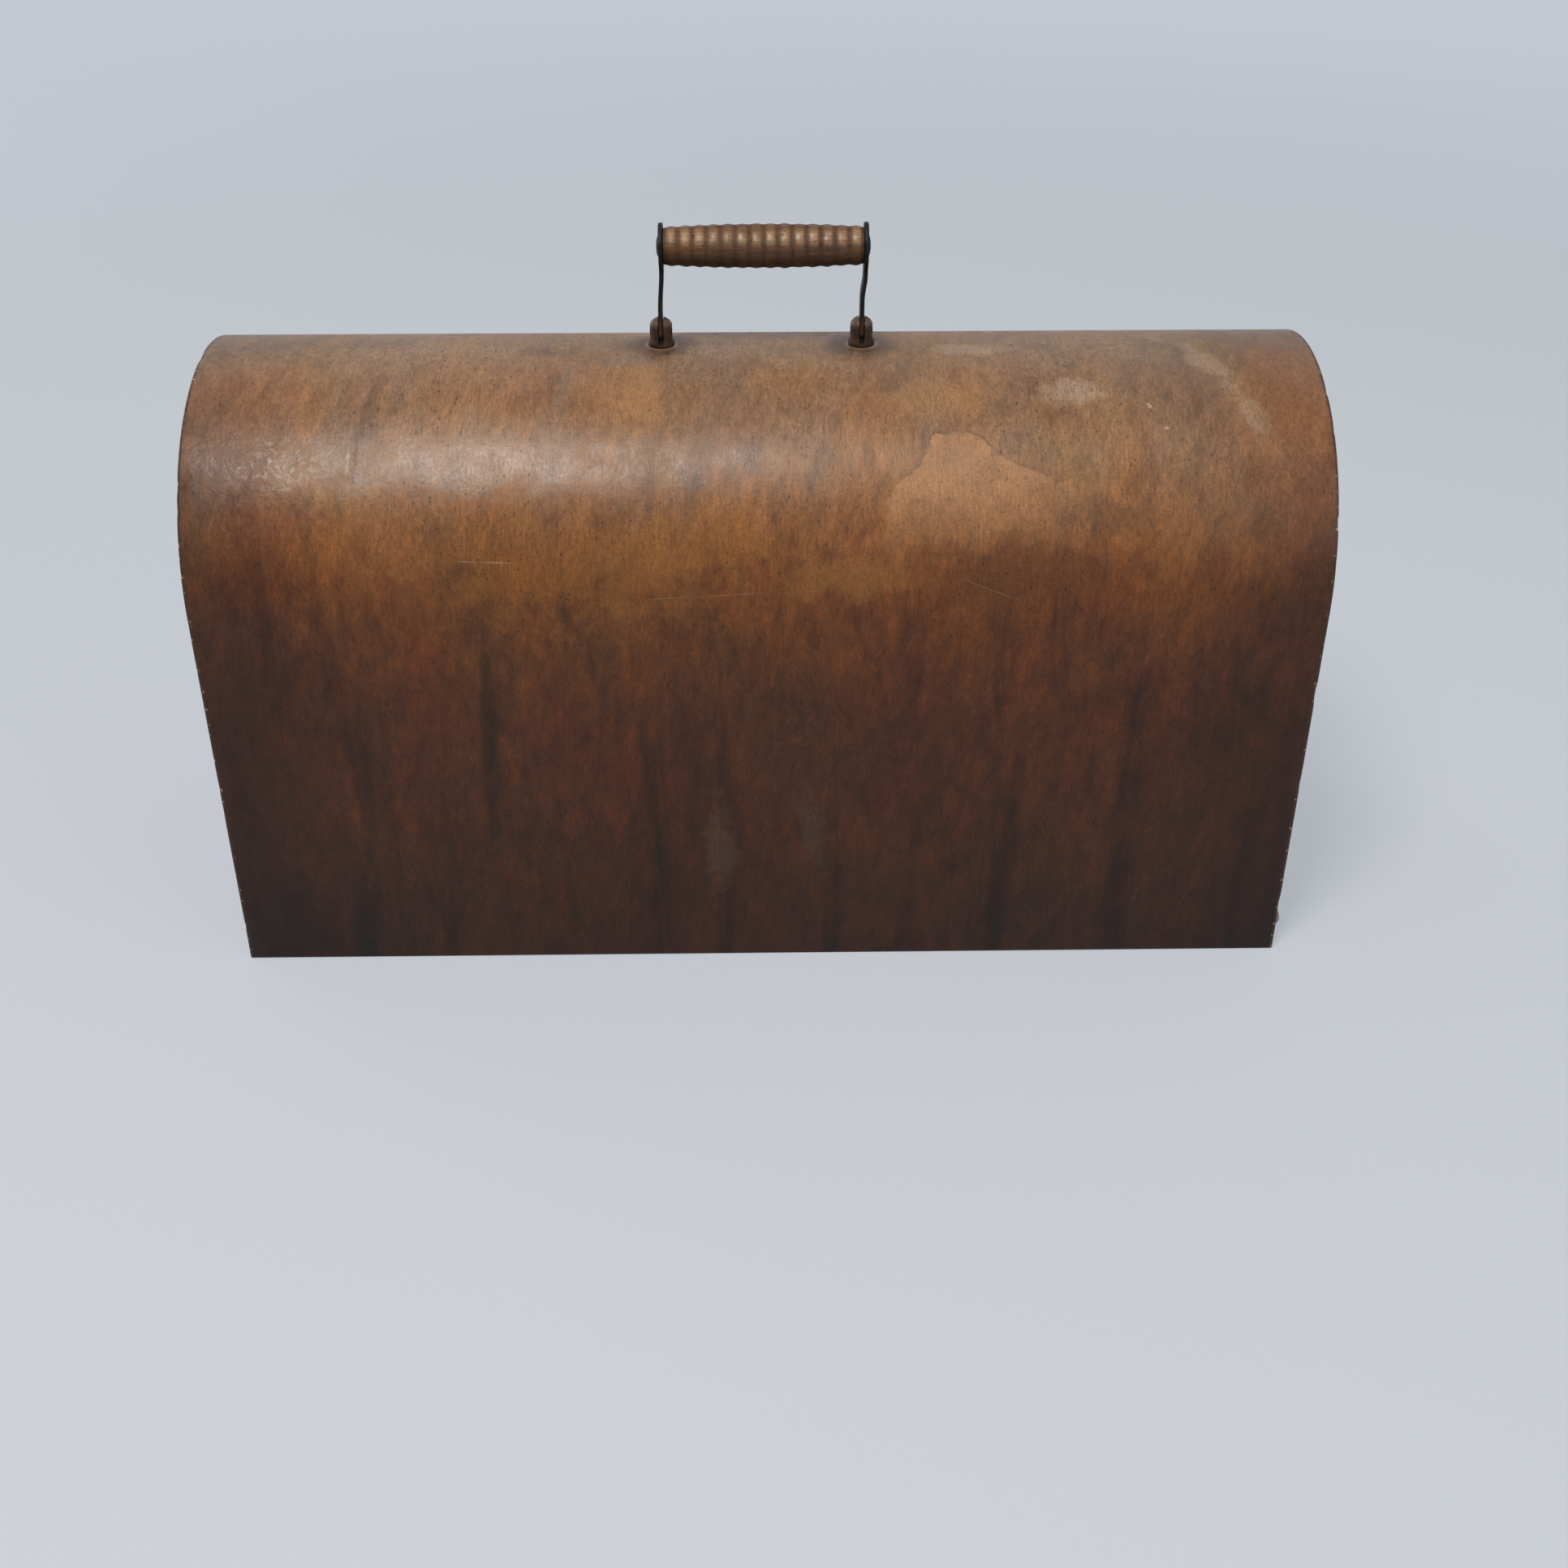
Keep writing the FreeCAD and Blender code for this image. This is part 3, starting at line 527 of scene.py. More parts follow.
@dataclass(frozen=True)
class VeneerFinish:
    """Worn shellac on the bent veneer, whose grain runs up one wall and down the other."""

    half_run: float
    half_length: float
    post_places: tuple[float, ...]
    patch: WornPatch
    smudges: tuple[Smudge, ...]
    scratches: tuple[Scratch, ...]
    crown: Colour = (0.172, 0.093, 0.048)
    upper: Colour = (0.232, 0.113, 0.053)
    shoulder: Colour = (0.250, 0.121, 0.052)
    middle: Colour = (0.205, 0.080, 0.024)
    # The low, wall and foot tones are partly the walls' darker, soiled wood and partly painted
    # shade.
    low: Colour = (0.138, 0.043, 0.008)
    wall: Colour = (0.072, 0.019, 0.003)
    foot: Colour = (0.033, 0.009, 0.002)
    ochre: Colour = (1.16, 1.06, 0.62)
    russet: Colour = (0.93, 0.80, 0.74)
    drab: Colour = (0.80, 0.92, 1.16)
    shadow: Colour = (0.42, 0.36, 0.36)
    glint: Colour = (1.75, 1.45, 1.10)
    dark: Colour = (0.040, 0.020, 0.012)
    dust: Colour = (0.318, 0.217, 0.138)
    chip: Colour = (0.500, 0.320, 0.170)
    blister_shares: Pair = (-0.9, -0.4)
    blister_depths: Pair = (450 * MICRON, 80 * MICRON)
    gloss: float = 0.33
    roughness: float = 0.375

    def material(self) -> Material:
        """The lacquered outside of the shell.

        Returns:
            The finished material.
        """
        r = Recipe.named("worn_shellac_veneer")
        lay = r.mark(LAY, "Vector")
        along, run, _ = r.parts(lay)
        cloud = r.noise(lay, 11.0, 5.0, 0.58)
        ragged = r.noise(lay, 75.0, 5.0, 0.62)
        wave = r.noise(lay, 300.0, 3.0, 0.6)
        from_crown = r.calc("ABSOLUTE", r.calc("SUBTRACT", run, self.half_run))
        drop = r.calc("DIVIDE", from_crown, self.half_run)
        tone = self.stain(r, lay, along, drop, cloud)
        tone, bare = self.patch.lay_on(r, tone, along, run, ragged)
        for smudge in self.smudges:
            tone = r.mix(smudge.mask(r, lay, ragged, wave), tone, smudge.colour)
        settled = r.span(r.product(r.total(cloud, ragged), 0.5), 0.36, 0.66, 0.08, 0.56)
        powder = r.product(r.fade(drop, 0.01, 0.15), settled, r.span(wave, 0.34, 0.66, 0.72, 1.28))
        tone = r.mix(powder, tone, self.dust)
        tone = self.post_rings(r, tone, lay, ragged)
        fleck, thread, grit, depth = self.grain(r, lay, cloud)
        tone = r.shade(tone, depth)
        groove = 0.0
        for scratch in self.scratches:
            mask = r.product(scratch.mask(r, lay, wave), r.span(ragged, 0.42, 0.58, 0.35, 1.0))
            tone = r.mix(mask, tone, scratch.colour)
            groove = r.total(groove, mask)
        tone = self.worn_ends(r, tone, along, wave)
        rough = r.total(
            self.roughness, r.product(powder, 0.25), r.product(bare, 0.12),
            r.span(fleck, 0.35, 0.65, -0.08, 0.08), r.span(ragged, 0.35, 0.65, -0.03, 0.06),
        )
        height = r.heights(
            (fleck, 50), (thread, 24), (grit, 35), (wave, 80), (cloud, 220), (groove, -60),
        )
        left, right = (self.half_length * share for share in self.blister_shares)
        blistered = r.product(ragged, r.span(along, left, right, *self.blister_depths))
        return r.finish(tone, rough, r.total(height, blistered), Specular_IOR_Level=self.gloss)

    def stain(self, r: Recipe, lay: Value, along: Value, drop: Value, cloud: Value) -> Value:
        """Colour of the shellac: zones from crown to foot, partly painted shade low down, drifting
        clouds, runs and dark ends.

        Args:
            r: the material that it belongs to.
            lay: place along and over the arch.
            along: place along the arch.
            drop: share of the way from the crown to the foot.
            cloud: slow noise that makes the zones drift.

        Returns:
            The colour.
        """
        drift = r.swing(cloud, 0.20)
        # The zones darken towards the foot partly for the walls' darker, soiled wood and partly as
        # painted shade on the lower walls.
        tone = r.tones(r.total(drop, drift), [
            (0.00, self.crown), (0.09, self.upper), (0.22, self.shoulder), (0.31, self.middle),
            (0.40, self.low), (0.58, self.wall), (1.00, self.foot),
        ])
        for tint, scale, shift, strength in (
            (self.ochre, (22.0, 9.0, 1.0), (0.0, 0.0, 0.0), 0.5),
            (self.russet, (17.0, 9.0, 1.0), (7.3, 2.1, 0.0), 0.7),
            (self.drab, (21.0, 11.0, 1.0), (3.7, 9.4, 0.0), 0.85),
        ):
            blot = r.streaks(lay, scale, 3.0, 0.55, 0.4, shift)
            tone = r.mix(r.span(blot, 0.44, 0.66, 0.0, strength), tone, tint, "MULTIPLY")
        runs = r.span(r.streaks(lay, (48.0, 4.0, 1.0), 5.0, 0.62, 0.5), 0.50, 0.70)
        runs = r.product(runs, r.span(drop, 0.25, 0.60, 0.25, 0.9))
        tone = r.mix(runs, tone, self.shadow, "MULTIPLY")
        speckle = r.streaks(lay, (190.0, 75.0, 1.0), 5.0, 0.68)
        tone = r.shade(tone, r.vary(speckle, 0.84, 1.16))
        slant = r.local(lay, (0.0, 0.0, 0.0), (6 * MM, 34 * MM, 1.0), math.radians(-20))
        tone = r.shade(tone, r.span(r.noise(slant, 1.0, 4.0, 0.6, 0.5), 0.34, 0.66, 0.90, 1.10))
        mottle = r.streaks(lay, (92.0, 44.0, 1.0), 6.0, 0.64, 0.6, (5.1, 3.3, 0.0))
        dull = r.product(r.span(mottle, 0.46, 0.68), r.span(drop, 0.12, 0.45, 0.28, 0.50))
        tone = r.mix(dull, tone, self.shadow, "MULTIPLY")
        lively = r.product(r.fade(mottle, 0.32, 0.48), r.span(drop, 0.15, 0.55, 0.0, 0.40))
        tone = r.mix(lively, tone, self.glint, "MULTIPLY")
        out = r.calc("ADD", r.calc("ABSOLUTE", along), r.product(drift, 0.22))
        ends = r.span(out, self.half_length * 0.66, self.half_length * 0.99, 0.0, 0.85)
        ends = r.product(ends, r.span(drop, 0.10, 0.40, 0.3, 1.0))
        return r.mix(ends, tone, self.shadow, "MULTIPLY")

    def grain(self, r: Recipe, lay: Value, cloud: Value) -> tuple[Value, Value, Value, Value]:
        """Short flecks and long threads along the fibres, fine grit and scattered dark pores.

        Args:
            r: the material that they belong to.
            lay: place along and over the arch.
            cloud: slow noise that thins them out in places.

        Returns:
            The flecks, the threads, the grit, and how much they lighten or darken the colour.
        """
        fleck = r.streaks(lay, (760.0, 270.0, 1.0), 4.0, 0.72, 0.2)
        grit = r.noise(lay, 1050.0, 3.0, 0.7)
        thread = r.streaks(lay, (1500.0, 60.0, 1.0), 2.0, 0.6)
        pore = r.cells(r.stretch(lay, (330.0, 210.0, 1.0)), 1.0)
        dense = r.span(cloud, 0.40, 0.60, 0.35, 1.0)
        depth = r.total(
            r.vary(fleck, 0.82, 1.18),
            r.span(grit, 0.32, 0.68, -0.16, 0.16),
            r.product(r.span(thread, 0.35, 0.65, -0.10, 0.10), dense),
            r.product(r.span(pore, 0.10, 0.24, -0.45, 0.0), dense),
        )
        return fleck, thread, grit, depth

    def post_rings(self, r: Recipe, tone: Value, lay: Value, cloud: Value) -> Value:
        """Lays a pale ring and a dark halo round each post's foot, with radii in millimetres.

        Args:
            r: the material that it belongs to.
            tone: the colour beneath.
            lay: place along and over the arch.
            cloud: noise that makes the halo ragged, a little more at the second post.

        Returns:
            The new colour.
        """
        for index, place in enumerate(self.post_places):
            away = r.length(r.local(lay, (place, self.half_run, 0.0), (MM, MM, 1.0)))
            ragged = r.calc("ADD", away, r.swing(cloud, 13.0 + 3.0 * index))
            tone = r.mix(r.fade(ragged, 8.0, 22.0, 0.70), tone, self.dark)
            tone = r.mix(r.fade(away, 6.2, 8.6, 0.42), tone, self.dust)
        return tone

    def worn_ends(self, r: Recipe, tone: Value, along: Value, wave: Value) -> Value:
        """Darkens the last millimetre at each end and chips it.

        Args:
            r: the material that it belongs to.
            tone: the colour beneath.
            along: place along the arch.
            wave: noise that makes the line uneven and places the chips.

        Returns:
            The new colour.
        """
        left = r.calc("SUBTRACT", self.half_length, r.calc("ABSOLUTE", along))
        line = r.fade(r.calc("ADD", left, r.swing(wave, 2.4 * MM)), 0.7 * MM, 2.0 * MM, 0.85)
        tone = r.mix(line, tone, self.dark)
        chips = r.product(r.span(wave, 0.60, 0.66), r.fade(left, 0.6 * MM, 2.0 * MM, 0.9))
        return r.mix(chips, tone, self.chip)


@dataclass(frozen=True)
class PlyEdgeFinish:
    """Cut edge of the three-ply shell: two dark glue lines between stained plies."""

    thickness: float
    face_ply: Colour = (0.120, 0.055, 0.026)
    core_ply: Colour = (0.190, 0.100, 0.048)
    glue: Colour = (0.030, 0.015, 0.009)
    worn: Colour = (0.400, 0.240, 0.120)

    def material(self) -> Material:
        """The edge of the shell at its ends and along the bottom.

        Returns:
            The finished material.
        """
        r = Recipe.named("stained_ply_edge")
        _, _, depth = r.parts(r.mark(LAY, "Vector"))
        place = r.place()
        fibre = r.streaks(place, (500.0, 500.0, 500.0), 4.0, 0.65)
        cloud = r.noise(place, 60.0, 4.0, 0.6)
        share = r.total(r.calc("DIVIDE", depth, self.thickness), r.swing(cloud, 0.05))
        core = r.product(r.span(share, 0.31, 0.35), r.fade(share, 0.65, 0.69))
        tone = r.mix(core, self.face_ply, self.core_ply)
        lines = r.span(r.calc("PINGPONG", r.calc("SUBTRACT", share, 1 / 6), 1 / 6), 0.135, 0.16)
        inner = r.product(lines, r.span(share, 0.1, 0.25), r.fade(share, 0.75, 0.9))
        tone = r.mix(r.product(inner, 0.8), tone, self.glue)
        tone = r.mix(r.span(cloud, 0.60, 0.72, 0.0, 0.7), tone, self.worn)
        tone = r.shade(tone, r.vary(fibre, 0.65, 1.25))
        return r.finish(tone, r.vary(fibre, 0.6, 0.8), r.heights((fibre, 120), (inner, -60)))


class Grain(Enum):
    """Direction in which the fibres of a board run, as how much each axis is stretched."""

    LENGTH = (0.04, 1.0, 1.0)
    OVER_ARCH = (1.0, 0.04, 1.0)
    HEIGHT = (1.0, 1.0, 0.04)


@dataclass(frozen=True)
class BoardFinish:
    """Solid board: growth rings seen as long, wavering bands, with fine fibres and pores."""

    name: str
    grain: Grain
    pale: Colour
    deep: Colour
    grime: Colour
    roughness: float
    coat: float = 0.0
    coat_roughness: float = 0.3
    bands: float = 55.0

    def material(self) -> Material:
        """A board with this finish.

        Returns:
            The finished material.
        """
        r = Recipe.named(self.name)
        place = r.mark(LAY, "Vector") if self.grain is Grain.OVER_ARCH else r.place()
        drawn = r.stretch(place, self.grain.value)
        bend = r.noise(drawn, 14.0, 2.0, 0.5)
        band = r.noise(drawn, self.bands, 3.0, 0.55, 0.8)
        rings = r.calc("FRACT", r.total(r.product(band, 4.0), r.product(bend, 2.0)))
        late = r.product(r.span(rings, 0.0, 0.70), r.fade(rings, 0.75, 1.0))
        tone = r.mix(r.product(late, 0.6), self.pale, self.deep)
        fibre = r.noise(drawn, 1400.0, 2.0, 0.6)
        pores = r.noise(drawn, 2600.0, 1.0, 0.5)
        cloud = r.noise(place, 16.0, 5.0, 0.6)
        stain = r.noise(place, 90.0, 3.0, 0.6)
        tone = r.mix(r.span(cloud, 0.48, 0.75, 0.0, 0.65), tone, self.grime)
        tone = r.mix(r.span(stain, 0.60, 0.78, 0.0, 0.45), tone, self.grime)
        fine = r.total(r.vary(fibre, 0.82, 1.14), r.span(pores, 0.6, 0.75, 0.0, -0.3))
        tone = r.shade(tone, fine)
        dull = r.span(cloud, 0.4, 0.7, -0.03, 0.07)
        rough = r.total(self.roughness, r.vary(fibre, -0.05, 0.08), dull)
        height = r.heights((late, 50), (fibre, 30), (pores, -30))
        coat = {"Coat_Weight": self.coat, "Coat_Roughness": self.coat_roughness}
        return r.finish(tone, rough, height, **coat)


@dataclass(frozen=True)
class GripFinish:
    """Turned hardwood: dark in the grooves, pale on the crests from wear and painted highlight,
    painted shade below.
    """

    centre: Triple
    # dark of the grooves, also used for the painted shade under the grip
    groove: Colour = (0.014, 0.006, 0.002)
    body: Colour = (0.100, 0.038, 0.008)
    deep: Colour = (0.032, 0.012, 0.004)
    # pale of the crests: partly rubbed wood, partly painted highlight
    rubbed: Colour = (0.335, 0.195, 0.100)
    gloss: float = 0.40
    roughness: float = 0.40

    def material(self) -> Material:
        """The wooden grip.

        Returns:
            The finished material.
        """
        r = Recipe.named("turned_grip_wood")
        place = r.local(r.place(), self.centre, (1.0, 1.0, 1.0))
        crest = r.mark(CREST)
        drawn = r.stretch(place, (0.06, 1.0, 1.0))
        figure = r.noise(drawn, 330.0, 4.0, 0.6, 0.8)
        fibre = r.noise(drawn, 1500.0, 2.0, 0.6)
        cloud = r.noise(place, 75.0, 4.0, 0.6)
        spots = r.noise(place, 420.0, 3.0, 0.6)
        tone = r.mix(r.span(figure, 0.42, 0.66, 0.0, 0.6), self.body, self.deep)
        _, _, above = r.parts(place)
        # Pale on the crests at the height where the lamp's highlight falls: partly rubbed wood,
        # partly painted highlight.
        wear_and_highlight = r.product(
            r.span(crest, 0.0, 0.95, 0.10, 1.0), r.span(cloud, 0.36, 0.60, 0.5, 1.2),
            r.product(
                r.span(above, 0.3 * MM, 6.8 * MM), r.span(above, 6.5 * MM, 9.5 * MM, 0.72, 0.15),
            ),
        )
        tone = r.mix(wear_and_highlight, tone, self.rubbed)
        tone = r.mix(r.fade(crest, 0.0, 0.40, 0.34), tone, self.groove)
        tone = r.mix(r.span(spots, 0.58, 0.72, 0.0, 0.6), tone, self.groove)
        # Painted shade on the underside of the grip.
        painted_underside_shade = r.fade(above, -8 * MM, 3.5 * MM, 0.94)
        tone = r.mix(r.product(painted_underside_shade, r.span(cloud, 0.38, 0.62, 1.02, 0.60)), tone, self.groove)
        tone = r.shade(tone, r.vary(fibre, 0.72, 1.25))
        dull = r.span(spots, 0.4, 0.7, -0.06, 0.14)
        rough = r.total(self.roughness, dull, r.fade(crest, 0.15, 0.75, 0.30))
        height = r.heights((fibre, 40), (spots, 70), (figure, 60))
        return r.finish(tone, rough, height, Specular_IOR_Level=self.gloss)


@dataclass(frozen=True)
class IronFinish:
    """Old iron under a brown skin of oxide, rubbed bright in places and pitted.

    The depth of the pits is in micrometres.
    """

    name: str
    skin: Colour
    rust: Colour
    rubbed: Colour
    rusted: float
    metallic: float
    roughness: float
    pits: float = 100.0
    gloss: float = 0.5
    wear_and_highlight_above: Pair | None = None
    rusted_below: Pair | None = None

    def material(self) -> Material:
        """Iron with this finish.

        Returns:
            The finished material.
        """
        r = Recipe.named(self.name)
        place = r.place()
        cloud = r.noise(place, 150.0, 5.0, 0.62)
        grit = r.noise(place, 900.0, 4.0, 0.65)
        hollows = r.span(r.cells(place, 1100.0), 0.0, 0.45, -1.0, 0.0)
        _, _, level = r.parts(place)
        rust = r.span(cloud, 0.62 - 0.25 * self.rusted, 0.78 - 0.2 * self.rusted)
        if self.rusted_below:
            rust = r.calc("MAXIMUM", rust, r.fade(level, *self.rusted_below))
        tone = r.mix(rust, self.skin, self.rust)
        tone = r.mix(r.product(r.span(grit, 0.58, 0.72), 0.45), tone, self.skin)
        bright = r.product(r.fade(cloud, 0.26, 0.42), r.span(grit, 0.4, 0.6, 0.3, 0.9))
        # On the posts the dome tops turn paler partly from rubbing and partly as a painted
        # highlight.
        if self.wear_and_highlight_above:
            worn = r.product(r.span(level, *self.wear_and_highlight_above), r.fade(cloud, 0.46, 0.60, 0.7))
            bright = r.calc("MAXIMUM", bright, worn)
        tone = r.mix(bright, tone, self.rubbed)
        rough = r.total(
            self.roughness, r.product(rust, 0.2), r.product(bright, -0.16),
            r.vary(grit, -0.06, 0.08),
        )
        height = r.heights((grit, self.pits), (hollows, self.pits * 0.6), (cloud, self.pits * 2))
        return r.finish(tone, rough, height, Metallic=self.metallic, Specular_IOR_Level=self.gloss)


@dataclass(frozen=True)
class PlateFinish:
    """Rolled and filed metal plate, tarnished, with fine draw marks along its length."""

    name: str
    metal: Colour
    tarnish: Colour
    roughness: float = 0.38
    metallic: float = 0.85

    def material(self) -> Material:
        """Plate metal with this finish.

        Returns:
            The finished material.
        """
        r = Recipe.named(self.name)
        place = r.place()
        cloud = r.noise(place, 120.0, 5.0, 0.6)
        spots = r.noise(place, 700.0, 3.0, 0.6)
        draw = r.noise(r.stretch(place, (1.0, 0.05, 1.0)), 3000.0, 2.0, 0.6)
        dull = r.total(r.span(cloud, 0.38, 0.64, 0.0, 0.75), r.span(spots, 0.58, 0.70, 0.0, 0.3))
        tone = r.mix(dull, self.metal, self.tarnish)
        rough = r.total(self.roughness, r.product(dull, 0.24), r.vary(draw, -0.06, 0.08))
        return r.finish(tone, rough, r.heights((draw, 15), (spots, 20)), Metallic=self.metallic)


# --- Shell ----------------------------------------------------------------------------------


@dataclass(frozen=True)
class ArchLine:
    """Outline of the arch: a wall, a shoulder arc, a flatter crown arc, a shoulder and a wall."""

    half_depth: float
    height: float
    shoulder_inset: float = 6 * MM
    crown_half_angle: float = math.radians(28.5)

    @property
    def shoulder_radius(self) -> float:
        """Radius of the two shoulders."""
        return self.half_depth - self.shoulder_inset

    @property
    def crown_radius(self) -> float:
        """Radius of the crown, tangent to both shoulders."""
        return self.shoulder_radius + self.shoulder_inset / math.sin(self.crown_half_angle)

    @property
    def wall(self) -> float:
        """Height at which the straight wall ends."""
        rise = (self.crown_radius - self.shoulder_radius) * math.cos(self.crown_half_angle)
        return self.height - self.crown_radius + rise

    @property
    def shoulder(self) -> float:
        """Length of one shoulder arc."""
        return self.shoulder_radius * (math.pi / 2 - self.crown_half_angle)

    @property
    def total(self) -> float:
        """Length of the whole outline, from the front foot to the rear foot."""
        return 2 * (self.wall + self.shoulder + self.crown_radius * self.crown_half_angle)

    def at(self, run: Array, inset: Array) -> tuple[Array, Array]:
        """Points of the outline, or of a parallel line inside it.

        Over the front half the turn of the surface from the upright grows with the run along
        each arc; the point lies at the arc's radius, less the inset, from that arc's centre. The
        rear half mirrors the front.

        Args:
            run: distances along the outline from the front foot.
            inset: distances inwards from it.

        Returns:
            Y and Z of each point.
        """
        rear = run > self.total / 2
        near = np.where(rear, self.total - run, run)
        full_turn = math.pi / 2 - self.crown_half_angle
        turn = np.clip((near - self.wall) / self.shoulder_radius, 0.0, full_turn)
        angle = turn + np.maximum(near - self.wall - self.shoulder, 0.0) / self.crown_radius
        on_crown = near > self.wall + self.shoulder
        radius = np.where(on_crown, self.crown_radius, self.shoulder_radius) - inset
        centre_y = np.where(on_crown, 0.0, -self.shoulder_inset)
        centre_z = np.where(on_crown, self.height - self.crown_radius, self.wall)
        y = centre_y - radius * np.cos(angle)
        z = np.where(near < self.wall, near, centre_z + radius * np.sin(angle))
        return np.where(rear, -y, y), z


@dataclass
class BentShell:
    """Bent plywood arch, drawn finer than the frame's, with its rims rounded and nicked."""

    node: str = "bent_shell"
    thickness: float = 5.5 * MM
    outer_round: float = 0.9 * MM
    inner_round: float = 0.4 * MM
    foot_round: float = 0.6 * MM
    run_step: float = 2.4 * MM
    length_steps: int = 72
    end_crowding: float = 0.06
    face_steps: int = 3
    round_steps: int = 5
    face_band: float = 0.9
    foot_slack: float = 1.01
    nick_count: int = 26
    nick_depth: float = 0.7 * MM
    nick_widths: Pair = (1.2 * MM, 4.5 * MM)
    nick_shares: Pair = (0.15, 1.0)
    nick_scoop: float = 0.7
    hollow_depth: float = 0.16 * MM
    hollow_lengths: Pair = (0.31, 0.23)
    hollow_waves: int = 3
    hollow_fade: float = 20 * MM
    crease: float = 50.0
    seed: int = 11
    line: ArchLine = field(init=False)
    low: Vector = field(init=False)
    high: Vector = field(init=False)

    def __post_init__(self) -> None:
        """Reads the shell's outer sizes from the frame."""
        self.low, self.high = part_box(self.node)
        self.line = ArchLine((self.high.y - self.low.y) / 2, self.high.z)

    @property
    def half_length(self) -> float:
        """Half of the shell's length."""
        return (self.high.x - self.low.x) / 2

    @property
    def middle(self) -> float:
        """X of the middle of the shell."""
        return (self.high.x + self.low.x) / 2

    def section(self) -> tuple[Array, Array, Array]:
        """Closed loop through the wall's thickness, along the outside and back along the inside.

        Points crowd towards the ends: a share e of the half length becomes e plus a small part of
        what e has over its own cube.

        Returns:
            X from the shell's middle, depth under the outer face, and share of rim at each point.
        """
        share = np.linspace(-1, 1, self.length_steps)
        flat = share * (1 + self.end_crowding - self.end_crowding * share ** 2)
        outer_in, outer_short = round_corner(self.outer_round, self.round_steps)
        inner_in, inner_short = round_corner(self.inner_round, self.round_steps)
        face = np.linspace(self.outer_round, self.thickness - self.inner_round, self.face_steps + 2)
        face = face[1:-1]
        outside = flat * (self.half_length - self.outer_round)
        inside = -flat * (self.half_length - self.inner_round)
        end_x = np.concatenate([
            self.half_length - outer_short[1:], np.full(len(face), self.half_length),
            self.half_length - inner_in[:-1],
        ])
        end_depth = np.concatenate([outer_in[1:], face, self.thickness - inner_short[:-1]])
        end_rim = np.where(np.arange(len(end_x)) < self.round_steps - 1, 1.0, 0.0)
        none, all_through = np.zeros(self.length_steps), np.full(self.length_steps, self.thickness)
        x = np.concatenate([outside, end_x, inside, -end_x[::-1]])
        depth = np.concatenate([none, end_depth, all_through, end_depth[::-1]])
        rim = np.concatenate([none, end_rim, none, end_rim[::-1]])
        return x, depth, rim

    def runs(self) -> tuple[Array, Array]:
        """Places along the arch, closer together where the feet are rounded.

        Returns:
            The run at each row, and how far the loop shrinks there.
        """
        foot, shrink = round_corner(self.foot_round, self.round_steps)
        count = int(self.line.total / self.run_step)
        between = np.linspace(self.foot_round, self.line.total - self.foot_round, count)[1:-1]
        run = np.concatenate([foot, between, self.line.total - foot[::-1]])
        pinch = np.concatenate([shrink, np.zeros_like(between), shrink[::-1]])
        return run, pinch

    def nicks(self, run: Array) -> list[Array]:
        """Depth of the dents along each rim: a sum of narrow bell curves, up to the deepest nick.

        Args:
            run: places along the arch.

        Returns:
            The depths at the left end and at the right end.
        """
        rng = np.random.default_rng(self.seed)
        sides = []
        for _ in range(2):
            centres = rng.uniform(0, self.line.total, self.nick_count)
            widths = rng.uniform(*self.nick_widths, self.nick_count)
            depths = rng.uniform(*self.nick_shares, self.nick_count) ** 2 * self.nick_depth
            bells = np.exp(-(((run[:, None] - centres) / widths) ** 2)) * depths
            sides.append(np.minimum(bells.sum(axis=1), self.nick_depth))
        return sides

    def hollows(self, x: Array, run: Array) -> Array:
        """Shallow hollows of the old veneer, which fade out at the feet.

        The depth is half of one plus the product of two slow ripples, and is never outwards.

        Args:
            x: places along the shell.
            run: places along the arch.

        Returns:
            How deep the face lies there.
        """
        along, over = (
            ripple(self.seed + 1 + step, places, self.hollow_waves, self.hollow_lengths[step])
            for step, places in enumerate((x, run))
        )
        fade = np.clip(np.minimum(run, self.line.total - run) / self.hollow_fade, 0, 1)
        return self.hollow_depth * np.clip(1 + along * over, 0, 2) / 2 * fade

    def build(self) -> Piece:
        """The shell as one closed mesh: the loop carried along the arch, capped at both feet.

        Returns:
            The shell, with a finish number on each face.
        """
        x, depth, rim = self.section()
        run, pinch = self.runs()
        middle_depth = self.thickness / 2
        near_face = np.abs(middle_depth - depth) > middle_depth * self.face_band
        toward = np.sign(middle_depth - depth) * near_face
        near_end = np.abs(x) - self.half_length + self.outer_round
        end_share = np.clip(near_end / self.outer_round, 0, 1)
        left, right = self.nicks(run)
        dent = np.where(x < 0, left[:, None], right[:, None]) * rim
        grid_x = x - pinch[:, None] * np.sign(x) * end_share - dent * np.sign(x)
        grid_depth = depth + pinch[:, None] * toward + dent * self.nick_scoop
        grid_run = np.repeat(run[:, None], len(x), axis=1)
        hollow = self.hollows(grid_x, grid_run) * (depth < middle_depth)
        y, z = self.line.at(grid_run, grid_depth + hollow)
        points = np.stack([grid_x + self.middle, y, z], axis=-1)
        lay = np.stack([grid_x, grid_run, grid_depth], axis=-1).reshape(-1, 3)
        faces = grid_faces(*grid_x.shape, close_columns=True)
        caps = self.foot_caps(*grid_x.shape)
        piece = make_piece("veneered_shell", points, faces.tolist() + caps, {LAY: lay}, self.crease)
        kinds = np.concatenate([self.face_kinds(faces, grid_depth), np.ones(len(caps), dtype=int)])
        piece.data.polygons.foreach_set("material_index", kinds.astype(np.int32))
        return piece

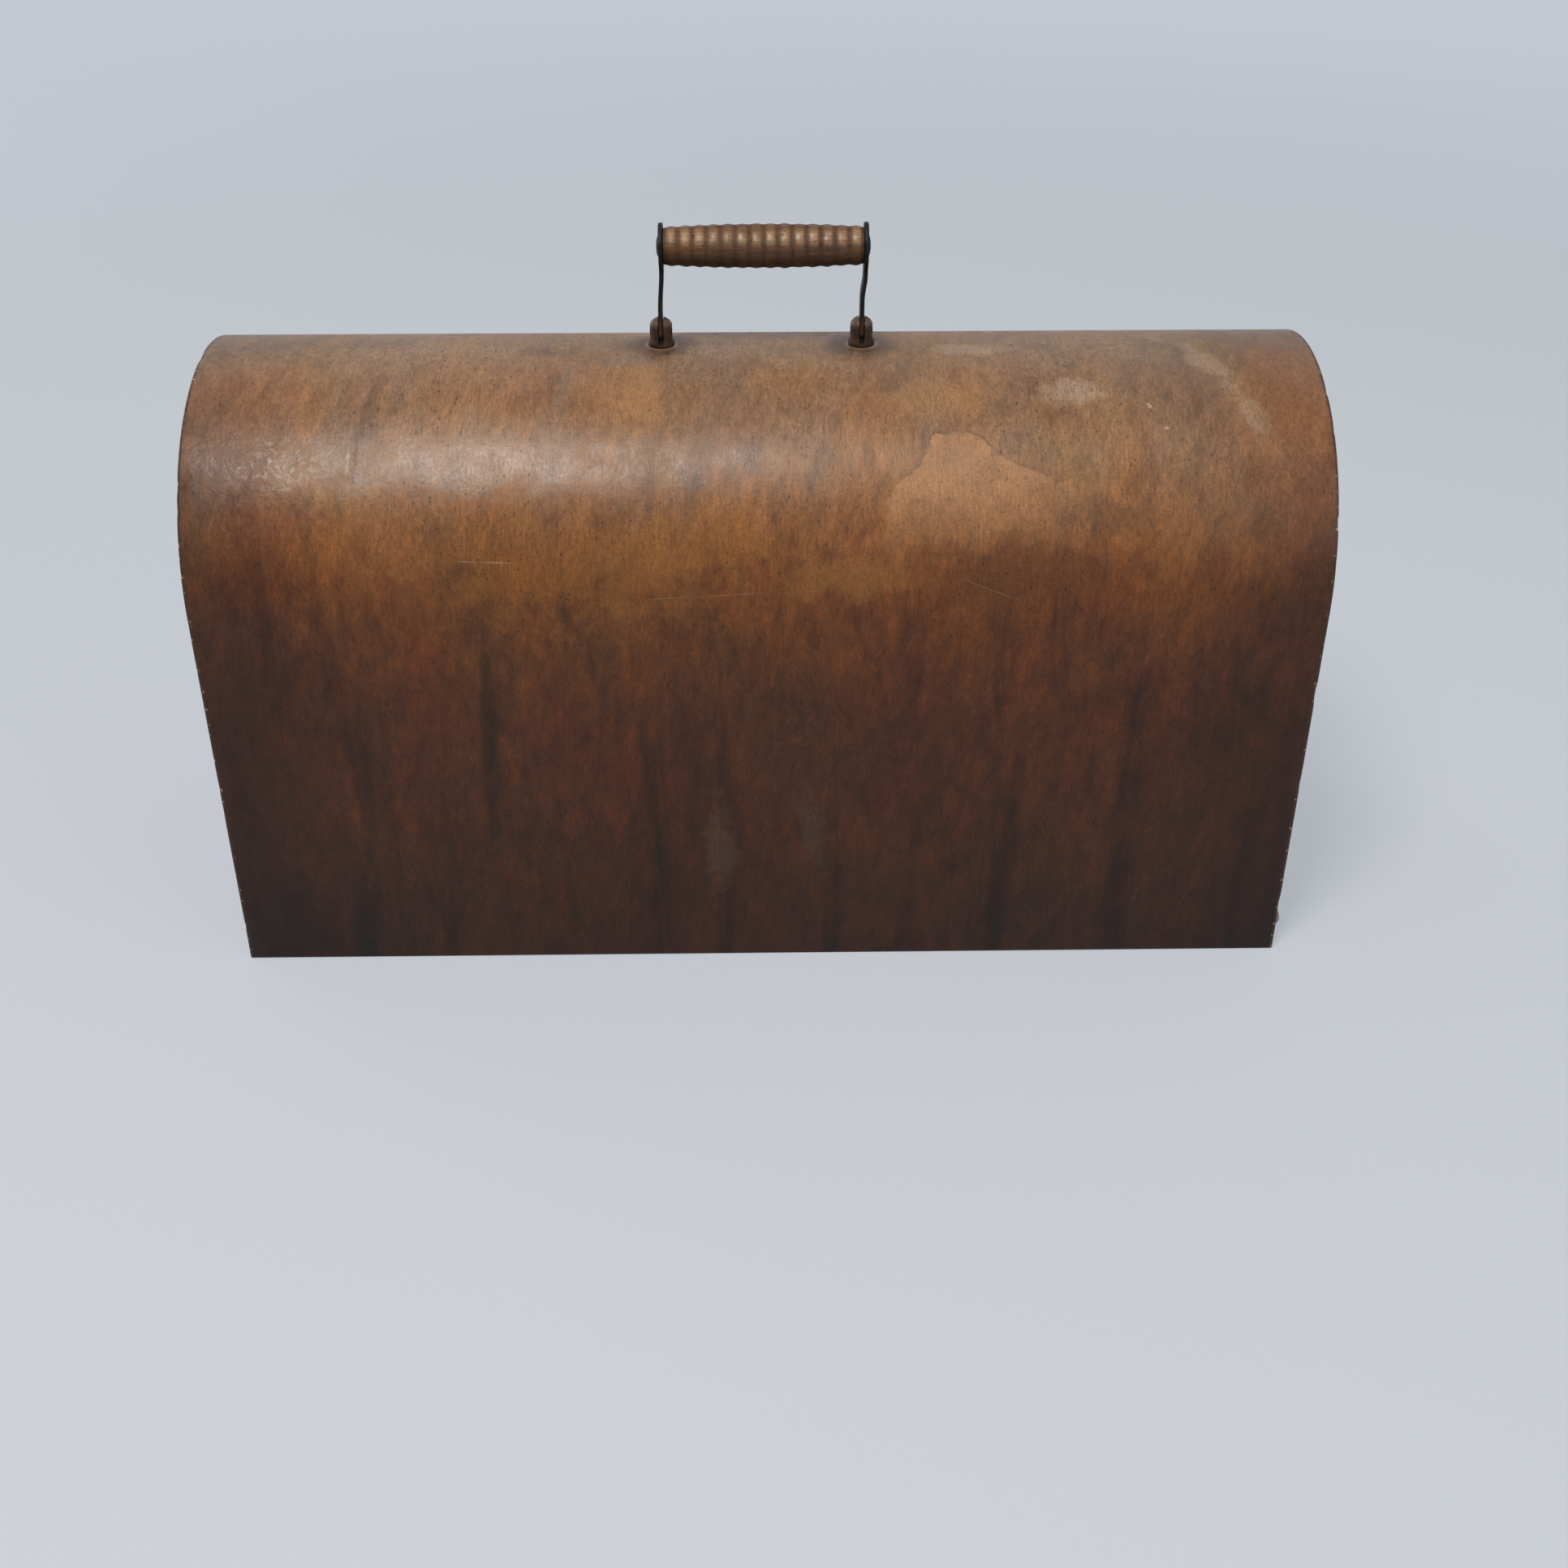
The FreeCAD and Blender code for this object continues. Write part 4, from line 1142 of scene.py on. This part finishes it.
    def face_kinds(self, faces: Array, depth: Array) -> Array:
        """Which of the three finishes each quad takes, by how deep it lies: outside, edge, inside.

        Args:
            faces: corner numbers of each quad.
            depth: depth of each point under the outer face.

        Returns:
            0 for the outside, 1 for the edge and 2 for the inside.
        """
        deep = depth.reshape(-1)[faces]
        kinds = np.ones(len(faces), dtype=int)
        kinds[deep.max(axis=1) <= self.outer_round + self.nick_depth] = 0
        kinds[deep.min(axis=1) >= self.thickness - self.foot_round * self.foot_slack] = 2
        return kinds

    def foot_caps(self, rows: int, columns: int) -> Faces:
        """Faces that close the loop at the front and the rear foot.

        Args:
            rows: how many rows of points the shell has.
            columns: how many points each row has.

        Returns:
            Lists of corner numbers.
        """
        count = self.length_steps
        turn = (columns - 2 * count) // 2
        caps = []
        for first in (0, (rows - 1) * columns):
            outer = first + np.arange(count)
            inner = first + count + turn + np.arange(count)[::-1]
            caps += np.stack([outer[:-1], outer[1:], inner[1:], inner[:-1]], axis=-1).tolist()
            for start in (count - 1, 2 * count + turn - 1):
                caps.append([first + (start + step) % columns for step in range(turn + 2)])
        return caps

    def dress(self, post_places: list[float]) -> Piece:
        """Builds the shell and gives it its three finishes.

        Args:
            post_places: X of each handle post, in the frame.

        Returns:
            The finished piece.
        """
        piece = self.build()
        places = tuple(place - self.middle for place in post_places)
        for finish in (
            veneer_with_marks(self.line.total / 2, self.half_length, places),
            PlyEdgeFinish(self.thickness),
            BoardFinish(
                "bare_inner_veneer", Grain.OVER_ARCH, pale=(0.330, 0.205, 0.110),
                deep=(0.230, 0.130, 0.062), grime=(0.120, 0.070, 0.038), roughness=0.72,
            ),
        ):
            piece.data.materials.append(finish.material())
        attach(piece, "cover")
        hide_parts(self.node)
        return piece


def veneer_with_marks(
    half_run: float, half_length: float, post_places: tuple[float, ...],
) -> VeneerFinish:
    """The veneer's finish with the marks of this cover, which are placed in millimetres.

    A place is along the arch from its middle and over it from the front foot.

    Args:
        half_run: half the length over the arch.
        half_length: half the shell's length.
        post_places: X of the posts from the shell's middle.

    Returns:
        The finish.
    """
    pale, haze, gold = (0.400, 0.285, 0.195), (0.345, 0.235, 0.150), (0.330, 0.165, 0.062)
    dark, grey, amber = (0.070, 0.034, 0.020), (0.170, 0.115, 0.080), (0.240, 0.094, 0.018)
    # place along and over the arch
    border = (
        (53, 226), (59, 245), (70, 255), (80, 269), (92, 269), (104, 260), (120, 252), (160, 247),
    )
    patch = WornPatch(
        border=tuple((along * MM, over * MM) for along, over in border),
        fade_below=(206 * MM, 250 * MM), fade_right=(100 * MM, 165 * MM), ragged=20 * MM,
        colour=(0.345, 0.168, 0.070), rim=(0.085, 0.040, 0.020),
    )
    # centre, size, tilt, colour, strength, raggedness, and whether it is broken into specks
    smudges = (
        ((141, 292), (20, 11), 5, pale, 0.45, 1.1),
        ((205, 312), (9, 30), 20, haze, 0.5, 1.3),
        ((219, 280), (8, 20), 12, haze, 0.5, 1.2),
        ((99, 328), (22, 8), 0, pale, 0.4, 1.2),
        # pale specks at the left end of the sheen band: partly pale flecks in the lacquer, partly
        # painted highlights on its blisters
        ((-206, 257), (38, 19), 0, (0.430, 0.335, 0.255), 0.6, 0.8, True),
        # grey-brown haze along the sheen band: painted sheen that makes the highlight greyer
        ((-140, 262), (95, 27), 0, (0.270, 0.180, 0.125), 0.42, 0.9),
        # finer pale specks in the sheen band: painted highlights
        ((-120, 258), (70, 16), 0, (0.430, 0.320, 0.240), 0.45, 0.8, True),
        ((168, 318), (26, 5), -8, grey, 0.5, 1.2),
        ((-87, 300), (4, 24), -8, grey, 0.5, 0.9),
        ((-52, 292), (15, 30), 0, gold, 0.55, 1.2),
        ((78, 290), (30, 14), 0, gold, 0.5, 1.2),
        ((-172, 288), (6, 36), -9, dark, 0.34, 1.3),
        ((-60, 318), (16, 7), 0, grey, 0.45, 1.0),
        ((-84, 214), (88, 40), 0, amber, 0.34, 1.3),
        ((-24, 222), (48, 20), 0, amber, 0.26, 1.5),
        ((40, 205), (46, 12), 0, (0.215, 0.088, 0.020), 0.6, 1.2),
        ((150, 232), (34, 12), 0, dark, 0.4, 1.2),
        ((118, 208), (70, 17), 0, (0.100, 0.033, 0.009), 0.6, 1.0),
        ((234, 296), (20, 60), 0, (0.190, 0.076, 0.028), 0.6, 1.0),
        ((-20, 60), (10, 34), 0, dark, 0.6, 1.2),
        ((24, 72), (8, 26), 6, dark, 0.5, 1.2),
    )
    # start, end, width, colour, strength, wobble
    scratches = (
        ((-170, 308), (-176, 270), 0.9, dark, 0.40, 1.6),
        ((-176, 276), (-178, 246), 0.9, dark, 0.6, 1.6),
        ((-180, 266), (-180, 252), 0.8, pale, 0.6, 1.2),
        ((-135, 214), (-108, 213), 0.35, haze, 0.5, 0.4),
        ((-52, 196), (6, 199), 0.25, haze, 0.35, 0.4),
        ((88, 205), (118, 193), 0.25, haze, 0.35, 0.5),
        ((172, 286), (174, 283), 0.9, pale, 0.9, 0.6),
        ((179, 273), (181, 272), 1.0, pale, 0.9, 0.6),
        ((-214, 470), (-150, 455), 0.3, haze, 0.25, 0.9),
        ((60, 430), (130, 446), 0.3, haze, 0.25, 0.9),
        ((20, 560), (96, 548), 0.3, haze, 0.25, 0.8),
    )
    return VeneerFinish(
        half_run, half_length, post_places, patch,
        tuple(Smudge(*row) for row in smudges), tuple(Scratch(*row) for row in scratches),
    )


# --- Handle ---------------------------------------------------------------------------------


@dataclass
class CarryHandle:
    """Swinging handle: turned grip, two strap arms and the rod that holds them together."""

    bead_count: int = 14
    bead_steps: int = 14
    bead_depth: float = 0.62 * MM
    bead_fullness: float = 0.95
    bead_shift: float = 0.12 * MM
    bead_swell: float = 0.22 * MM
    out_of_true: float = 0.006
    oval_turn: float = 0.7
    oval_waves: Waves = (6, 30 * MM)
    lobed_waves: Waves = (8, 20 * MM)
    end_radius: float = 8.5 * MM
    collar: float = 0.25 * MM
    edge_break: float = 0.2 * MM
    bore_radius: float = 3.25 * MM
    grip_around: int = 96
    rod_radius: float = 3.0 * MM
    rod_around: int = 48
    dome_steps: int = 10
    dome_foot: float = 0.18
    dome_bluntness: float = 0.8
    dome_undercut: float = 0.97
    hammered: float = 0.05
    hammered_waves: Waves = (5, 50 * MM)
    hammered_spread: float = 10 * MM
    strap_half_width: float = 4.5 * MM
    strap_thickness: float = 2.0 * MM
    strap_round: float = 0.45 * MM
    strap_around: int = 32
    strap_steps: int = 90
    fillet_steps: int = 30
    fillet_reach: Pair = (1.6, 0.6)
    lean_steps: int = 60
    corner_power: float = 0.22
    beaten: float = 0.02
    beaten_waves: Waves = (7, 20 * MM)
    head_fillet: float = 6.0 * MM
    left_lean: Pair = (5.8 * MM, 27 * MM)
    right_lean: Pair = (13.5 * MM, 14 * MM)
    seed: int = 5

    def grip(self) -> Piece:
        """Turned grip: rounded beads under a barrel outline.

        Along each bead the bulge is a raised cosine from groove to groove, a little filled out;
        the crests follow a parabola from the ends' radius to the middle's. Each bead is shifted,
        thinned and made oval and three-lobed by a little.

        Returns:
            The grip.
        """
        low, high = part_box("handle_grip")
        centre = (low + high) / 2
        half = (high.x - low.x) / 2
        middle_radius = (high.z - low.z) / 2
        rng = np.random.default_rng(self.seed)
        pitch = (2 * half - 2 * self.collar) / self.bead_count
        share = np.linspace(-1, 1, self.bead_steps, endpoint=False)
        bead = np.arange(self.bead_count)[:, None]
        shift = rng.uniform(-self.bead_shift, self.bead_shift, self.bead_count)[:, None]
        swell = rng.uniform(-self.bead_swell, 0.0, self.bead_count)[:, None]
        x = -half + self.collar + pitch * (bead + (share + 1) / 2)
        envelope = middle_radius - (middle_radius - self.end_radius) * (x / half) ** 2
        bulge = (0.5 + 0.5 * np.cos(math.pi * share)) ** self.bead_fullness
        radius = envelope + (bulge - 1) * self.bead_depth + swell * bulge
        x = x + shift * (1 - share ** 2)
        groove = self.end_radius - self.bead_depth
        broken = groove - self.edge_break
        bore = self.bore_radius
        end_x = np.array([half - self.collar, half - self.edge_break, half, half])
        end_radius = np.array([groove, groove, broken, bore])
        profile_x = np.concatenate([x.ravel(), end_x, [0.0], -end_x[:0:-1]])
        profile_radius = np.concatenate([radius.ravel(), end_radius, [bore], end_radius[:0:-1]])
        crests = np.concatenate([np.tile(bulge, self.bead_count), np.zeros(2 * len(end_x))])
        turn = np.linspace(0, math.tau, self.grip_around, endpoint=False)
        oval = ripple(self.seed + 1, profile_x, *self.oval_waves)[:, None]
        lobed = ripple(self.seed + 2, profile_x, *self.lobed_waves)[:, None]
        bumps = oval * np.sin(2 * turn + self.oval_turn) + lobed * np.sin(3 * turn)
        points = turned_points(profile_x, profile_radius, self.grip_around)
        thinner = self.out_of_true * (1 + bumps / 2) * crests[:, None]
        points[..., 1:] *= (1 - thinner)[..., None]
        points += np.array(centre)
        faces = grid_faces(len(profile_x), self.grip_around, close_rows=True, close_columns=True)
        marks = {CREST: np.repeat(crests, self.grip_around)}
        piece = make_piece("turned_grip", points, faces.tolist(), marks)
        piece.data.materials.append(GripFinish(tuple(centre)).material())
        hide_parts("handle_grip")
        return piece

    def rod(self) -> Piece:
        """Iron rod whose two ends are hammered over into low, uneven domes.

        The dome's radius follows a blunt sine and its height a cosine over a low cylinder.

        Returns:
            The rod.
        """
        low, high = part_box("grip_rod")
        centre = (low + high) / 2
        head = (high.z - low.z) / 2
        _, arm_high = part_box("right_handle_arm")
        neck_end = arm_high.x - centre.x
        tip = (high.x - low.x) / 2
        dome = np.linspace(0, math.pi / 2, self.dome_steps)
        rise = self.dome_foot + (1 - self.dome_foot) * np.cos(dome)
        right_x = np.concatenate([neck_end + (tip - neck_end) * rise, [neck_end, neck_end]])
        dome_radius = head * np.sin(dome) ** self.dome_bluntness
        right_radius = np.concatenate([dome_radius, [head * self.dome_undercut, self.rod_radius]])
        profile_x = np.concatenate([right_x, -right_x[::-1]])
        profile_radius = np.concatenate([right_radius, right_radius[::-1]])
        points = turned_points(profile_x, profile_radius, self.rod_around)
        turn = np.linspace(0, math.tau, self.rod_around, endpoint=False)
        dents = ripple(self.seed + 3, turn * self.hammered_spread, *self.hammered_waves)
        dented = self.hammered * (1 + dents) / 2
        on_dome = (np.abs(profile_x) > neck_end)[:, None]
        points[..., 1:] *= (1 - on_dome * dented)[..., None]
        points += np.array(centre)
        faces = grid_faces(len(profile_x), self.rod_around, close_columns=True)
        piece = make_piece("peened_rod", points, faces.tolist())
        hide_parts("grip_rod")
        return piece

    def arm(self, node: str, lean_start: float, lean_length: float) -> Piece:
        """Flat strap with a round head, rounded at its edges and set over to the right.

        The outline's half width follows the eye's circle, the strap, a fillet and the head's
        circle. Each level is a rounded rectangle of that width. The strap leans over along a
        cubic Bezier curve, whose two upright handles end at half its height.

        Args:
            node: the frame's arm that it stands for.
            lean_start: height over the pivot at which it starts to lean.
            lean_length: height over which it leans.

        Returns:
            The arm.
        """
        low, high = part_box(node)
        head = (high.y - low.y) / 2
        eye = self.strap_half_width
        pivot_z = low.z + eye
        reach = high.z - pivot_z - head
        lean = high.x - low.x - self.strap_thickness
        fan = (1 - np.cos(np.linspace(0, math.pi, self.strap_steps))) / 2
        low_end, high_end = (reach - head * share for share in self.fillet_reach)
        by_fillet = np.linspace(low_end, high_end, self.fillet_steps)
        level = np.sort(np.concatenate([-eye + (reach + eye + head) * fan, by_fillet]))
        edge = np.minimum(level + eye, reach + head - level)
        short = np.clip(self.strap_round - edge, 0, None)
        rounded = np.sqrt(np.clip(self.strap_round ** 2 - short ** 2, 0, None))
        thick = self.strap_thickness / 2 - self.strap_round + rounded
        turn = np.linspace(0, math.tau, self.strap_around, endpoint=False)
        across, through = (
            np.sign(wave) * np.abs(wave) ** self.corner_power
            for wave in (np.cos(turn), np.sin(turn))
        )
        span = np.linspace(0, 1, self.lean_steps)
        rise = lean_start + lean_length * (1.5 * span * (1 - span) + span ** 3)
        shift = np.interp(level, rise, lean * (3 * span ** 2 - 2 * span ** 3))
        beat = 1 - self.beaten * (1 + ripple(self.seed + 4, level, *self.beaten_waves))
        x = low.x + self.strap_thickness / 2 + shift[:, None] + thick[:, None] * through
        y = self.half_widths(level, reach, head)[:, None] * beat[:, None] * across
        z = np.repeat((pivot_z + level)[:, None], len(turn), axis=1)
        faces = grid_faces(len(level), len(turn), close_columns=True).tolist()
        name = node.replace("handle_arm", "strap_arm")
        piece = make_piece(name, np.stack([x, y, z], axis=-1), faces)
        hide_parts(node)
        return piece

    def half_widths(self, level: Array, reach: float, head: float) -> Array:
        """Half width of an arm at each height over its pivot.

        Below the fillet it is the eye's circle and then the strap; in the fillet, the centre's
        distance less the fillet's circle; above it, the head's circle.

        Args:
            level: heights over the pivot.
            reach: height of the head's centre.
            head: radius of the head.

        Returns:
            The half widths.
        """
        eye, fillet = self.strap_half_width, self.head_fillet
        centre_y = eye + fillet
        centre_z = reach - math.sqrt((head + fillet) ** 2 - centre_y ** 2)
        touch_z = centre_z + (reach - centre_z) * fillet / (head + fillet)
        lower = np.sqrt(np.clip(eye ** 2 - np.minimum(level, 0) ** 2, 0, None))
        flare = centre_y - np.sqrt(np.clip(fillet ** 2 - (level - centre_z) ** 2, 0, None))
        upper = np.sqrt(np.clip(head ** 2 - (level - reach) ** 2, 0, None))
        return np.where(level > touch_z, upper, np.where(level < centre_z, lower, flare))

    def dress(self) -> list[Piece]:
        """Builds the handle and gives its pieces their finishes.

        Returns:
            The grip, the rod and the two arms.
        """
        strap = IronFinish(
            "blackened_strap_iron", skin=(0.006, 0.005, 0.004), rust=(0.046, 0.021, 0.010),
            rubbed=(0.030, 0.025, 0.021), rusted=0.1, metallic=0.1, roughness=0.5,
            gloss=0.22, rusted_below=(289.0 * MM, 294.5 * MM),
        ).material()
        pieces = [
            self.grip(), self.rod(),
            self.arm("left_handle_arm", *self.left_lean),
            self.arm("right_handle_arm", *self.right_lean),
        ]
        for piece in pieces[1:]:
            piece.data.materials.append(strap)
        for piece in pieces:
            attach(piece, "handle")
        return pieces


# --- Pieces kept from the frame -------------------------------------------------------------


class Keep(Enum):
    """Groups of frame nodes that keep their own shape and take one finish each."""

    END_BOARDS = ("left_end_panel", "right_end_panel")
    BARE_BLOCKS = ("left_glue_blocks", "right_glue_blocks")
    BARE_STRIP = ("handle_backing_strip",)
    POSTS = ("left_handle_post", "right_handle_post", "left_pivot_pin", "right_pivot_pin")
    FASTENERS = ("post_washers", "post_nuts", "lock_screws", "peg_plate_screws")
    LOCK = ("lock_case", "lock_back_plate", "lock_face_plate", "lock_hook", "lock_spindle")
    PEGS = ("front_locating_peg", "rear_locating_peg")
    ESCUTCHEON = ("keyhole_escutcheon", "escutcheon_pins")


@dataclass
class FrameParts:
    """Pieces whose shape in the frame is right already; most have their sharp edges eased."""

    weld_reach: float = 0.01 * MM
    edge_turn: float = math.radians(32)
    bevel_steps: int = 2
    ease: dict[Keep, float] = field(default_factory=lambda: {
        Keep.POSTS: 0.30 * MM, Keep.FASTENERS: 0.15 * MM, Keep.LOCK: 0.20 * MM,
        Keep.PEGS: 0.25 * MM, Keep.ESCUTCHEON: 0.12 * MM, Keep.BARE_BLOCKS: 0.5 * MM,
    })

    def finishes(self) -> dict[Keep, BoardFinish | IronFinish | PlateFinish]:
        """The finish of each group.

        Returns:
            The finishes by group.
        """
        return {
            Keep.END_BOARDS: BoardFinish(
                "stained_end_board", Grain.HEIGHT, pale=(0.150, 0.064, 0.026),
                deep=(0.070, 0.028, 0.013), grime=(0.035, 0.016, 0.010), roughness=0.42, coat=0.1,
            ),
            Keep.BARE_BLOCKS: BoardFinish(
                "bare_block_wood", Grain.HEIGHT, pale=(0.480, 0.330, 0.190),
                deep=(0.330, 0.200, 0.100), grime=(0.200, 0.120, 0.065), roughness=0.75,
            ),
            Keep.BARE_STRIP: BoardFinish(
                "bare_strip_wood", Grain.LENGTH, pale=(0.460, 0.310, 0.175),
                deep=(0.320, 0.190, 0.095), grime=(0.190, 0.115, 0.060), roughness=0.75,
            ),
            Keep.POSTS: IronFinish(
                "rusty_post_iron", skin=(0.021, 0.008, 0.003), rust=(0.052, 0.021, 0.008),
                rubbed=(0.130, 0.082, 0.050), rusted=0.8, metallic=0.12, roughness=0.5,
                # dome tops paler: partly rubbed iron, partly painted highlight
                pits=160.0, gloss=0.26, wear_and_highlight_above=(286.8 * MM, 290.0 * MM),
            ),
            Keep.FASTENERS: IronFinish(
                "dull_fastener_iron", skin=(0.110, 0.095, 0.080), rust=(0.130, 0.065, 0.030),
                rubbed=(0.330, 0.300, 0.270), rusted=0.4, metallic=0.75, roughness=0.45,
            ),
            Keep.LOCK: PlateFinish(
                "tarnished_lock_steel", metal=(0.380, 0.360, 0.330), tarnish=(0.130, 0.090, 0.060),
            ),
            Keep.PEGS: PlateFinish(
                "tarnished_peg_steel", metal=(0.330, 0.305, 0.275), tarnish=(0.110, 0.075, 0.050),
                roughness=0.42,
            ),
            Keep.ESCUTCHEON: PlateFinish(
                "dull_escutcheon_brass", metal=(0.560, 0.400, 0.160), tarnish=(0.190, 0.120, 0.050),
            ),
        }

    def dress(self) -> list[Piece]:
        """Gives each kept node its finish.

        Returns:
            The dressed nodes.
        """
        dressed = []
        for group, finish in self.finishes().items():
            material = finish.material()
            for name in group.value:
                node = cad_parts[name]
                for place in node.material_slots:
                    place.material = material
                if group in self.ease:
                    self.soften(node, self.ease[group])
                dressed.append(node)
        return dressed

    def soften(self, node: Piece, width: float) -> None:
        """Joins a node's loose faces and takes its sharp edges off.

        Args:
            node: the frame's node.
            width: how wide the eased edge is.
        """
        weld = node.modifiers.new("weld", "WELD")
        weld.merge_threshold = self.weld_reach
        bevel = node.modifiers.new("eased_edges", "BEVEL")
        bevel.width = width
        bevel.segments = self.bevel_steps
        bevel.limit_method = "ANGLE"
        bevel.angle_limit = self.edge_turn
        bevel.use_clamp_overlap = True


# --- Studio ---------------------------------------------------------------------------------


@dataclass(frozen=True)
class PaperFinish:
    """Pale backdrop paper that looks even to the camera and still takes a shadow."""

    paper: Colour = (0.66, 0.67, 0.69)
    look: Colour = (0.540, 0.580, 0.645)
    evenness: float = 0.6
    near: float = 0.9
    far: float = 2.6

    def material(self) -> Material:
        """The paper on the floor.

        Returns:
            The finished material.
        """
        r = Recipe.named("pale_floor")
        weave = r.vary(r.noise(r.place(), 900.0, 2.0, 0.5), 0.985, 1.015)
        matt = r.node("ShaderNodeBsdfDiffuse", {"Color": r.shade(self.paper, weave)})
        glow = r.node("ShaderNodeEmission", {"Color": self.look})
        even = r.span(r.length(r.place()), self.near, self.far, self.evenness, 1.0)
        return r.close(r.turn_over(r.product(r.seen_share(), even), matt, glow))


@dataclass(frozen=True)
class SoftLamp:
    """Rectangular area lamp, with its place and size in metres and its power in watts."""

    name: str
    place: Triple
    size: Pair
    power: float
    colour: Colour

    def hang(self, target: Triple) -> None:
        """Adds the lamp to the scene.

        Args:
            target: what it points at.
        """
        data = bpy.data.lights.new(self.name, "AREA")
        data.shape = "RECTANGLE"
        data.size, data.size_y = self.size
        data.energy = self.power
        data.color = self.colour
        lamp = bpy.data.objects.new(self.name, data)
        lamp.location = self.place
        aim = Vector(target) - Vector(self.place)
        lamp.rotation_euler = aim.to_track_quat("-Z", "Y").to_euler()
        bpy.context.scene.collection.objects.link(lamp)


@dataclass
class Studio:
    """Pale floor, soft light from above and the camera."""

    eye: Triple = (-6.064 * MM, -842.052 * MM, 570.505 * MM)
    yaw: float = 0.01588
    pitch: float = math.radians(32.337)
    lens: float = 43.172
    shift: Pair = (0.00197, 0.00153)
    paper: PaperFinish = PaperFinish()
    floor_reach: float = 12.0
    floor_drop: float = 0.2 * MM
    sky_colour: Colour = (0.97, 0.985, 1.0)
    sky_level: float = 0.44
    lit_place: Triple = (0.0, 0.0, 0.2)
    lamps: tuple[SoftLamp, ...] = (
        SoftLamp("ceiling_lamp", (-0.30, -0.76, 1.75), (0.44, 0.62), 20.0, (1.0, 0.985, 0.96)),
        SoftLamp("side_fill", (1.6, -1.5, 1.2), (1.4, 1.0), 9.0, (0.97, 0.99, 1.0)),
        SoftLamp("rear_fill", (-2.3, 1.7, 0.75), (1.3, 0.9), 17.0, (1.0, 1.0, 1.0)),
    )

    def camera(self) -> None:
        """Camera that looks down at the front, a little to the right of straight ahead."""
        data = bpy.data.cameras.new("camera")
        data.lens = self.lens
        data.shift_x, data.shift_y = self.shift
        camera = bpy.data.objects.new("camera", data)
        ahead, down = math.cos(self.pitch), math.sin(self.pitch)
        aim = Vector((math.sin(self.yaw) * ahead, math.cos(self.yaw) * ahead, -down))
        camera.location = self.eye
        camera.rotation_euler = aim.to_track_quat("-Z", "Y").to_euler()
        bpy.context.scene.collection.objects.link(camera)
        bpy.context.scene.camera = camera

    def floor(self) -> None:
        """Paper on the floor, reaching out to the horizon."""
        side = np.linspace(-self.floor_reach, self.floor_reach, 3)
        x, y = np.meshgrid(side, side, indexing="ij")
        points = np.stack([x, y, np.full_like(x, -self.floor_drop)], axis=-1)
        piece = make_piece("floor", points, grid_faces(3, 3).tolist())
        piece.data.materials.append(self.paper.material())

    def sky(self) -> None:
        """Even light from all round, behind which the camera sees the paper's own colour."""
        world = bpy.data.worlds.new("sky")
        bpy.context.scene.world = world
        r = Recipe(world)
        light, look = (
            r.node("ShaderNodeBackground", {"Color": colour, "Strength": level})
            for colour, level in ((self.sky_colour, self.sky_level), (self.paper.look, 1.0))
        )
        r.close(r.turn_over(r.seen_share(), light, look), "ShaderNodeOutputWorld")

    def build(self) -> None:
        """Sets up the camera, the floor and the light."""
        self.camera()
        self.floor()
        self.sky()
        for lamp in self.lamps:
            lamp.hang(self.lit_place)
        bpy.context.scene.view_settings.view_transform = "Standard"


def main() -> None:
    """Builds the studio and each sub-assembly."""
    logging.basicConfig(level=logging.INFO, format="%(name)s: %(message)s")
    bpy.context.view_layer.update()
    Studio().build()
    posts = [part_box(name) for name in ("left_handle_post", "right_handle_post")]
    shell = BentShell().dress([(low.x + high.x) / 2 for low, high in posts])
    for piece in (shell, *CarryHandle().dress(), *FrameParts().dress()):
        log.info("%s: %d faces", piece.name, len(piece.data.polygons))


if __name__ == "__main__":
    main()
